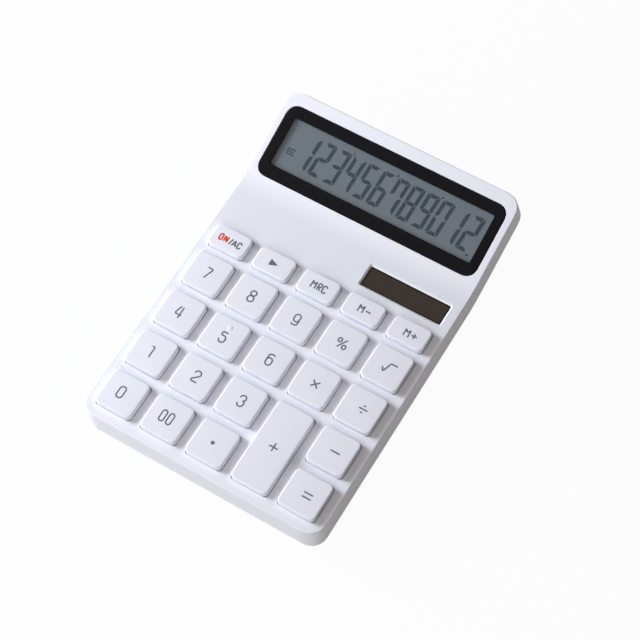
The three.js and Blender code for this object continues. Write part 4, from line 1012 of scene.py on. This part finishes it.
pad_reach = pad_half + PAD_MARGIN
pad_ring = ring(*np.stack([pad_middle - pad_reach, pad_middle + pad_reach], 1))
rims = [outline(pad_ring, pad_middle, pad_half, PAD_CORNER)]
rims += [circle(centre, DOME_BASE - DOME_WALL) for centre, _ in key_places.values()]
pad_back = pad_middle[1] + pad_half[1]
rims += [circle(centre, POST_RADIUS + POST_FIT) for centre in post_places if centre[1] < pad_back]
sheet = plate(rims, pad_bottom, pad_top)
make_piece("keypad_sheet", sheet, "case", KEYPAD_RUBBER, ["rubber_keypad"], on_deck, turn_out=True)
print("rims of the keypad sheet", len(rims))

# %% A dome for every key
DOME_SHOULDER = 0.5 * MM
DOME_SEAT = 0.02 * MM
DOME_ROOM = 0.03 * MM
travel = {joint["name"]: joint["range_m"][1] for joint in frame["joints"]}
shoulder = quarter(DOME_SHOULDER, 6)[::-1] * [1, -1] + [DOME_TOP - DOME_SHOULDER, dome_top]
dome = [(0, dome_inside), (DOME_TOP - DOME_WALL, dome_inside), (DOME_BASE - DOME_WALL, pad_top - DOME_SEAT),
        (DOME_BASE, pad_top - DOME_SEAT), *shoulder, (0, dome_top)]
for name, (centre, _) in key_places.items():
    piece = make_piece(name.replace("key", "dome"), [turned(dome, centre)], "case", KEYPAD_RUBBER,
                       place=on_deck)
    room = -PLUNGER_TIP - travel[name + "_press"] - DOME_ROOM - pad_top
    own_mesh(piece)

# %% [markdown]
# ## The display
# The black frame is a ring whose section is carried once round: in under the face, out along the flange,
# up the wall, over the face and down into the window. The digits are dark shapes on the grey glass under
# the clear sheet. Drawn as real, very thin pieces they stay sharp at any distance.

# %% Bezel
BEZEL_DEPTH = -bezel[:, 2].min()
BEZEL_FACE = 0.6 * MM
BEZEL_FLANGE = 1 * MM
BEZEL_WALL = 1.9 * MM
BEZEL_SOFT = 0.25 * MM
FRAME_SIDE = 4.4 * MM
FRAME_FRONT = 6 * MM
FRAME_BACK = 5.4 * MM
WINDOW_CORNER = 0.9 * MM
WINDOW_SOFT = 0.15 * MM
BEZEL_MARGIN = 3 * MM
flange_half = middle_and_half(bezel[:, :2])[1]
pane_half = bezel_half - [FRAME_SIDE, (FRAME_FRONT + FRAME_BACK) / 2]
pane_centre = bezel_centre + [0, (FRAME_FRONT - FRAME_BACK) / 2]
reach = bezel_half + BEZEL_MARGIN
around = bezel_centre + ring(*[np.linspace(-way, way, count) for way, count in zip(reach, (4, 3))])
pane = outline(around, pane_centre, pane_half, WINDOW_CORNER)
under = outline(around, bezel_centre, bezel_half, BEZEL_CORNER, -BEZEL_WALL)
flange = outline(around, bezel_centre, flange_half, BEZEL_CORNER + flange_half[0] - bezel_half[0])
wall = outline(around, bezel_centre, bezel_half, BEZEL_CORNER)
levels = [raised(pane, -BEZEL_FACE), raised(under, -BEZEL_FACE), raised(under, -BEZEL_DEPTH),
          raised(flange, -BEZEL_DEPTH), raised(flange, BEZEL_FLANGE - BEZEL_DEPTH),
          raised(wall, BEZEL_FLANGE - BEZEL_DEPTH),
          *edge_rings(around, bezel_centre, bezel_half, BEZEL_CORNER, BEZEL_SOFT, 4, -1)[::-1],
          *edge_rings(around, pane_centre, pane_half, WINDOW_CORNER, WINDOW_SOFT, 3, 1)]
levels.append(levels[0])
make_piece("bezel_frame", [skin(levels)], "case", FRAME_BLACK, ["display_bezel"], on_display)
print("window", 2 * pane_half)

# %% [markdown]
# A digit is seven bars that meet on slanted cuts with a thin gap between them. Their corners are written
# for one upright digit, then leaned and set in its place. Twelve cells stand at an even pitch.

# %% Bars of one digit
DIGIT_HALF = np.array([3.12, 8.45])
BAR = 1.8
GAP = 0.14
CHAMFER = 0.55
LEAN = 0.07
CELL_PITCH = 7.5625
FIRST_CELL = -38.03
DIGIT_MIDDLE = 24.1
a, b = DIGIT_HALF
inner = a - BAR
TOP = [(GAP + CHAMFER - a, b), (GAP - inner, b - BAR), (inner - GAP, b - BAR), (a - GAP - CHAMFER, b)]
SIDE = [(a, b - GAP - CHAMFER), (a - CHAMFER + 0.1, b - GAP - 0.1), (inner, b - BAR - GAP),
        (inner, BAR / 2 + GAP), (a - 0.35, GAP), (a, GAP + 0.25)]
MIDDLE = [(-a + GAP + 0.35, 0), (GAP - inner, -BAR / 2), (inner - GAP, -BAR / 2), (a - GAP - 0.35, 0),
          (inner - GAP, BAR / 2), (GAP - inner, BAR / 2)]


def flipped(shape, x=1, y=1):
    """A bar turned over sideways or upside down: its corners times plus or minus one."""
    return [(px * x, py * y) for px, py in shape]


BARS = {
    "top": TOP, "middle": MIDDLE, "bottom": flipped(TOP, y=-1),
    "right_up": SIDE, "right_down": flipped(SIDE, y=-1),
    "left_up": flipped(SIDE, x=-1), "left_down": flipped(SIDE, -1, -1),
}
ALL_BARS = set(BARS)
DIGIT_BARS = {
    "0": ALL_BARS - {"middle"}, "1": {"right_up", "right_down"},
    "2": ALL_BARS - {"left_up", "right_down"}, "3": ALL_BARS - {"left_up", "left_down"},
    "4": {"left_up", "middle", "right_up", "right_down"}, "5": ALL_BARS - {"right_up", "left_down"},
    "6": ALL_BARS - {"right_up"}, "7": {"left_up", "top", "right_up", "right_down"}, "8": ALL_BARS,
    "9": ALL_BARS - {"left_down"},
}

# %% Set the number on the glass
TICKS_X = (-18.6, 4.1, 26.75)
glass_top = display_points("lcd_panel")[:, 2].max()


def glass_height(flat):
    """The glass is flat: one height for every point."""
    return np.full(len(flat), glass_top)


shapes = []
for i, digit in enumerate("123456789012"):
    for bar in sorted(DIGIT_BARS[digit]):
        corners = np.array(BARS[bar])
        corners[:, 0] += LEAN * corners[:, 1] + FIRST_CELL + CELL_PITCH * i
        shapes.append(corners + [0, DIGIT_MIDDLE])
for x in TICKS_X:
    shapes.append(circle(np.array([x, 33.0]), 0.5, 16))
    shapes.append(np.array([(x - 0.45, 32.85), (x - 0.5, 32.1), (x + 0.1, 32.55)]))
shapes.append(circle(np.array([48.2, 14.9]), 0.6, 20))
E_LINES = [((-47.45, 22.5), (-46.85, 20.0), 0.2), ((-47.5, 22.5), (-43.5, 22.5), 0.3),
           ((-46.9, 21.25), (-44.0, 21.25), 0.3), ((-46.8, 20.0), (-43.4, 20.0), 0.3)]
skins = [ink_spot(MM * shape, glass_height, INK) for shape in shapes]
for start, end, half_width in E_LINES:
    skins.append(ink_line(MM * np.array([start, end]), glass_height, INK + INK_STEP / 2 * len(skins),
                          half_width * MM))
make_piece("display_digits", skins, "case", SEGMENT_DARK, place=on_display, turn_out=True)
print("display shapes", len(skins))

# %% [markdown]
# ## Underneath
# The tub rests on four rubber feet. A sliding door closes the battery space, and five screws hold the two
# halves together. None of this shows in the photograph, so it follows what such calculators have.

# %% Feet
ROUND_STEPS = 48
FOOT_SOFT = 0.4 * MM
FOOT_RIM = 1.2 * MM
FOOT_CHAMFER = 0.1 * MM
for name in nodes_with("foot_"):
    low, high = np.array(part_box(name))
    radius = (high[0] - low[0]) / 2
    dish = radius - FOOT_RIM
    profile = [(0, 0.15 * MM), (0.7 * dish, 0.12 * MM), (dish, 0.02 * MM),
               *(quarter(FOOT_SOFT, 4) + [radius - FOOT_SOFT, 0]), (radius, high[2] - FOOT_CHAMFER),
               (radius - FOOT_CHAMFER, high[2]), (0, high[2])]
    foot = turned(profile, (low + high)[:2] / 2, ROUND_STEPS)
    make_piece(name.replace("foot", "pad"), [foot], "case", FOOT_RUBBER, [name])
print("foot radius", radius)

# %% [markdown]
# A screw head is a disc whose height is a function of place: level, with a soft rim, and sunk where the
# cross of the driver goes. The shank is turned with a ridge at every thread.

# %% Screws
FLAT_SHARE = 0.86
FLAT_RINGS = 20
RIM_PARTS = [0.93, 0.98, 1]
RIM_RISE = [0.03, 0.1, 0.22]
CROSS_HALF = 0.16
CROSS_REACH = 0.62
CROSS_DEPTH = 0.55
CROSS_STEEP = 60
REACH_STEEP = 40
THREAD_PITCH = 0.8
THREAD_ROOT = 0.8
LEVEL_MATCH = 0.01 * MM


def screw_skin(centre, head_radius, shank_radius, bottom, shoulder, top):
    """Rings round the screw's axis: the head from its middle out, up its rim and in to the shank, then
    out and in at each thread to a point. The head rises where both the cross's arms and its reach say."""
    parts = np.append(np.linspace(0, FLAT_SHARE, FLAT_RINGS), RIM_PARTS)
    rise = np.append(np.zeros(FLAT_RINGS), RIM_RISE) * head_radius
    levels = []
    for part, soft in zip(parts, rise):
        flat = circle(np.zeros(2), part, ROUND_STEPS)
        narrow = np.abs(flat).min(1)
        in_arm = 1 / (1 + np.exp((narrow - CROSS_HALF) * CROSS_STEEP))
        in_reach = 1 / (1 + np.exp((part - CROSS_REACH) * REACH_STEEP))
        sunk = CROSS_DEPTH * (shoulder - bottom) * in_arm * in_reach
        levels.append(raised(centre + head_radius * flat, bottom + soft + sunk))
    turns = int((top - shoulder) / (THREAD_PITCH * shank_radius))
    heights = np.linspace(shoulder, top - shank_radius, 2 * turns + 1)[1:]
    thread = [(shank_radius * (THREAD_ROOT if i % 2 else 1), z) for i, z in enumerate(heights)]
    for radius, z in [(head_radius, shoulder), (shank_radius, shoulder), *thread, (0, top)]:
        levels.append(raised(circle(centre, radius, ROUND_STEPS), z))
    return skin(levels)


for name in nodes_with("_screw_"):
    in_holder = name.startswith("holder")
    local = display_points(name) if in_holder else deck_points(name)
    place = on_display if in_holder else on_deck
    centre, half = middle_and_half(local)
    head_radius = half[0]
    heights = np.unique(local[:, 2].round(6))
    shoulder, taper = heights[1], heights[-2]
    shank_radius = middle_and_half(local[np.abs(local[:, 2] - taper) < LEVEL_MATCH])[1][0]
    bottom, top = centre[2] - half[2], centre[2] + half[2]
    bolt = screw_skin(centre[:2], head_radius, shank_radius, bottom, shoulder, top)
    make_piece(name.replace("screw", "bolt"), [bolt], "case", STEEL, [name], place)
print("screw head and shank", head_radius, shank_radius)

# %% [markdown]
# The battery door is a plate whose outer face is a surface over a grid: level, with five thumb grooves
# and a shallow arrow that shows which way it slides. The rim of the grid then carries the side walls.

# %% Battery door
DOOR_SKIN = 1.2 * MM
DOOR_TONGUE = 1 * MM
DOOR_SOFT = 0.25 * MM
GROOVE_DEPTH = 0.4 * MM
GROOVE_PITCH = 2.2 * MM
GROOVE_HALF = 9 * MM
GROOVES_REACH = 5.6 * MM
GROOVE_STEEP = 12
FAR_BEYOND = 5
ARROW_START = 9 * MM
ARROW_LENGTH = 3.4 * MM
DOOR_STEPS = (121, 141)
low, high = np.array(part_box("battery_door"))
door_half = (high - low)[:2] / 2 - [DOOR_TONGUE, 0]
door_centre = (high + low)[:2] / 2


def door_face(flat):
    """Height of the outer face: the lowest level, raised in grooves across the door. A groove is the
    root of the positive part of a cosine along the door, times a soft step down at the rim of an oval.
    The arrow is a triangle, half as deep."""
    x, y = (flat - door_centre).T
    grooves = np.maximum(0, np.cos(2 * np.pi * y / GROOVE_PITCH)) ** 0.5
    beyond = np.hypot(x / GROOVE_HALF, y / GROOVES_REACH) ** 6 - 1
    ends = 1 / (1 + np.exp(GROOVE_STEEP * np.minimum(beyond, FAR_BEYOND)))
    tip = (y - ARROW_START) / ARROW_LENGTH
    arrow = (tip > -1) & (tip < 0) & (np.abs(x) < -tip * ARROW_LENGTH)
    return low[2] + GROOVE_DEPTH * grooves * ends + 0.5 * GROOVE_DEPTH * arrow


def door_skins():
    """The face as a grid, its rim taken round as a ring, and the ring carried up to the door's inside."""
    inner_half = door_half - DOOR_SOFT
    flat, index, quads = grid(*[middle + np.linspace(-half, half, count) for middle, half, count in
                                zip(door_centre, inner_half, DOOR_STEPS)])
    face = raised(flat, door_face(flat)), quads[:, [0, 3, 2, 1]]
    rim = np.concatenate([index[0, :-1], index[:-1, -1], index[-1, :0:-1], index[:0:-1, 0]])
    around = flat[rim]
    levels = [face[0][rim]]
    for out_by, down in quarter(DOOR_SOFT, 3)[1:]:
        scale = (inner_half + out_by) / inner_half
        levels.append(raised(door_centre + (around - door_centre) * scale, low[2] + down))
    plate = levels[-1][:, :2]
    tongue = door_centre + (plate - door_centre) * ((door_half + [DOOR_TONGUE, 0]) / door_half)
    levels += [raised(plate, low[2] + DOOR_SKIN), raised(tongue, low[2] + DOOR_SKIN),
               raised(tongue, high[2]), raised(0 * tongue + door_centre, high[2])]
    return [face, skin(levels)]


make_piece("battery_lid", door_skins(), "battery_door", CASE_WHITE, ["battery_door"])
print("door half size", door_half)

# %% [markdown]
# The cell under the door is a steel can in a printed sleeve that is folded over both ends. Both are turned
# upright in millimetres and then laid down: a profile's height becomes x, and its flat x and y become y
# and z.

# %% Battery
low, high = np.array(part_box("battery_cell")) / MM
radius, middle = (high[1] - low[1]) / 2, (low + high)[1:] / 2
NUB = 1
NUB_RADIUS = 1.9
SLEEVE = 0.12
start, shoulder, end = low[0], high[0] - NUB, high[0]
r = radius - SLEEVE
CAN = [(0, start + 0.3), (0.55 * r, start + 0.3), (0.62 * r, start), (0.88 * r, start), (r, start + 0.5),
       (r, shoulder - 0.6), (0.9 * r, shoulder - 0.15), (0.55 * r, shoulder - 0.15),
       (NUB_RADIUS, shoulder + 0.05), (NUB_RADIUS, end - 0.2), (NUB_RADIUS - 0.2, end), (0, end)]
WRAP = [(0.93 * r, start + 0.1), (radius - 0.1, start + 0.1), (radius, start + 0.4),
        (radius, shoulder - 0.5), (radius - 0.15, shoulder - 0.1), (0.93 * r, shoulder - 0.1),
        (0.93 * r, shoulder - 0.4), (r - 0.02, shoulder - 0.7), (r - 0.02, start + 0.6),
        (0.93 * r, start + 0.3), (0.93 * r, start + 0.1)]
for name, profile, material in [("battery_can", CAN, STEEL), ("battery_sleeve", WRAP, BATTERY_SKIN)]:
    points, quads = turned(profile, np.zeros(2), 64)
    lying = MM * (points[:, [2, 0, 1]] + [0, *middle])
    make_piece(name, [(lying, quads)], "case", material, ["battery_cell"])
print("battery radius and length in millimetres", radius, end - start)

# %% [markdown]
# ## Light and floor
# The photograph is lit by a soft lamp low on the left and a little to the front. It is close, so the left
# side of the keyboard is brighter than the right, and it is low, so every key throws a shadow as wide as
# the gap beside it. A much larger lamp in front opens the shadow on the front wall, which would be as dark
# as the right wall without it. The rest of the light comes from the room, which is the world. Rays that
# the camera, a mirror or glass sends out find plain white instead, which whitens the background without
# adding any light to the object.

# %% Lamp
LAMP_AIM = 20 * MM


def soft_lamp(name, turn, rise, away, size, power, colour):
    """A round lamp that looks at the object: turned from straight left towards the front, risen above the
    floor, both in degrees, so far away, with its own size in metres and power in watts."""
    turn, rise = math.radians(turn), math.radians(rise)
    towards = np.array([-math.cos(rise) * math.cos(turn), -math.cos(rise) * math.sin(turn), math.sin(rise)])
    lamp = put(name, bpy.data.lights.new(name, "AREA"))
    lamp.data.shape = "DISK"
    lamp.data.size = size
    lamp.data.energy = power
    lamp.data.color = colour
    side = np.cross([0, 0, 1], towards)
    side /= np.linalg.norm(side)
    axes = np.stack([side, np.cross(towards, side), towards, towards * away + [0, 0, LAMP_AIM]], 1)
    lamp.matrix_world = Matrix([*axes.tolist(), [0, 0, 0, 1]])


soft_lamp("low_lamp", 11, 26, 1.0, 0.5, 13.5, (0.88, 0.93, 1.0))
soft_lamp("front_fill", 85, 24, 2.0, 1.6, 14.5, (0.95, 0.96, 0.94))

# %% Room
ROOM_LIGHT = 0.18
WHITE = {"Color": (1, 1, 1, 1), "Strength": 1.0}


def lit_and_seen(owner, lit, seen, share, end):
    """Two shaders for a world or a material: one for the light that falls on things, and one, with the
    given share, for rays that the camera, a mirror or glass sends out."""
    owner.use_nodes = True
    tree = owner.node_tree
    tree.nodes.clear()
    rays = add(tree, "LightPath").outputs
    direct = math_node(tree, "MAXIMUM", rays["Is Camera Ray"], rays["Is Glossy Ray"])
    direct = math_node(tree, "MAXIMUM", direct, rays["Is Transmission Ray"])
    direct = math_node(tree, "MULTIPLY", direct, share)
    first, second = (add(tree, *shader).outputs[0] for shader in (lit, seen))
    both = add(tree, "MixShader", {0: direct, 1: first, 2: second})
    tree.links.new(both.outputs[0], add(tree, end).inputs["Surface"])


world = bpy.data.worlds.new("room")
bpy.context.scene.world = world
room = ("Background", {"Color": linear(255, 236, 231), "Strength": ROOM_LIGHT})
lit_and_seen(world, room, ("Background", WHITE), 1.0, "OutputWorld")

# %% Floor
FLOOR_HALF = 3.0
FLOOR_GLOW = 0.96
floor_mesh = bpy.data.meshes.new("floor")
corners = FLOOR_HALF * np.array([(-1, -1, 0), (1, -1, 0), (1, 1, 0), (-1, 1, 0)])
floor_mesh.from_pydata(corners, [], [(0, 1, 2, 3)])
floor = put("floor", floor_mesh)
paper = bpy.data.materials.new("white_paper")
matt = ("BsdfDiffuse", {"Color": linear(216, 216, 217)})
lit_and_seen(paper, matt, ("Emission", WHITE), FLOOR_GLOW, "OutputMaterial")
floor_mesh.materials.append(paper)
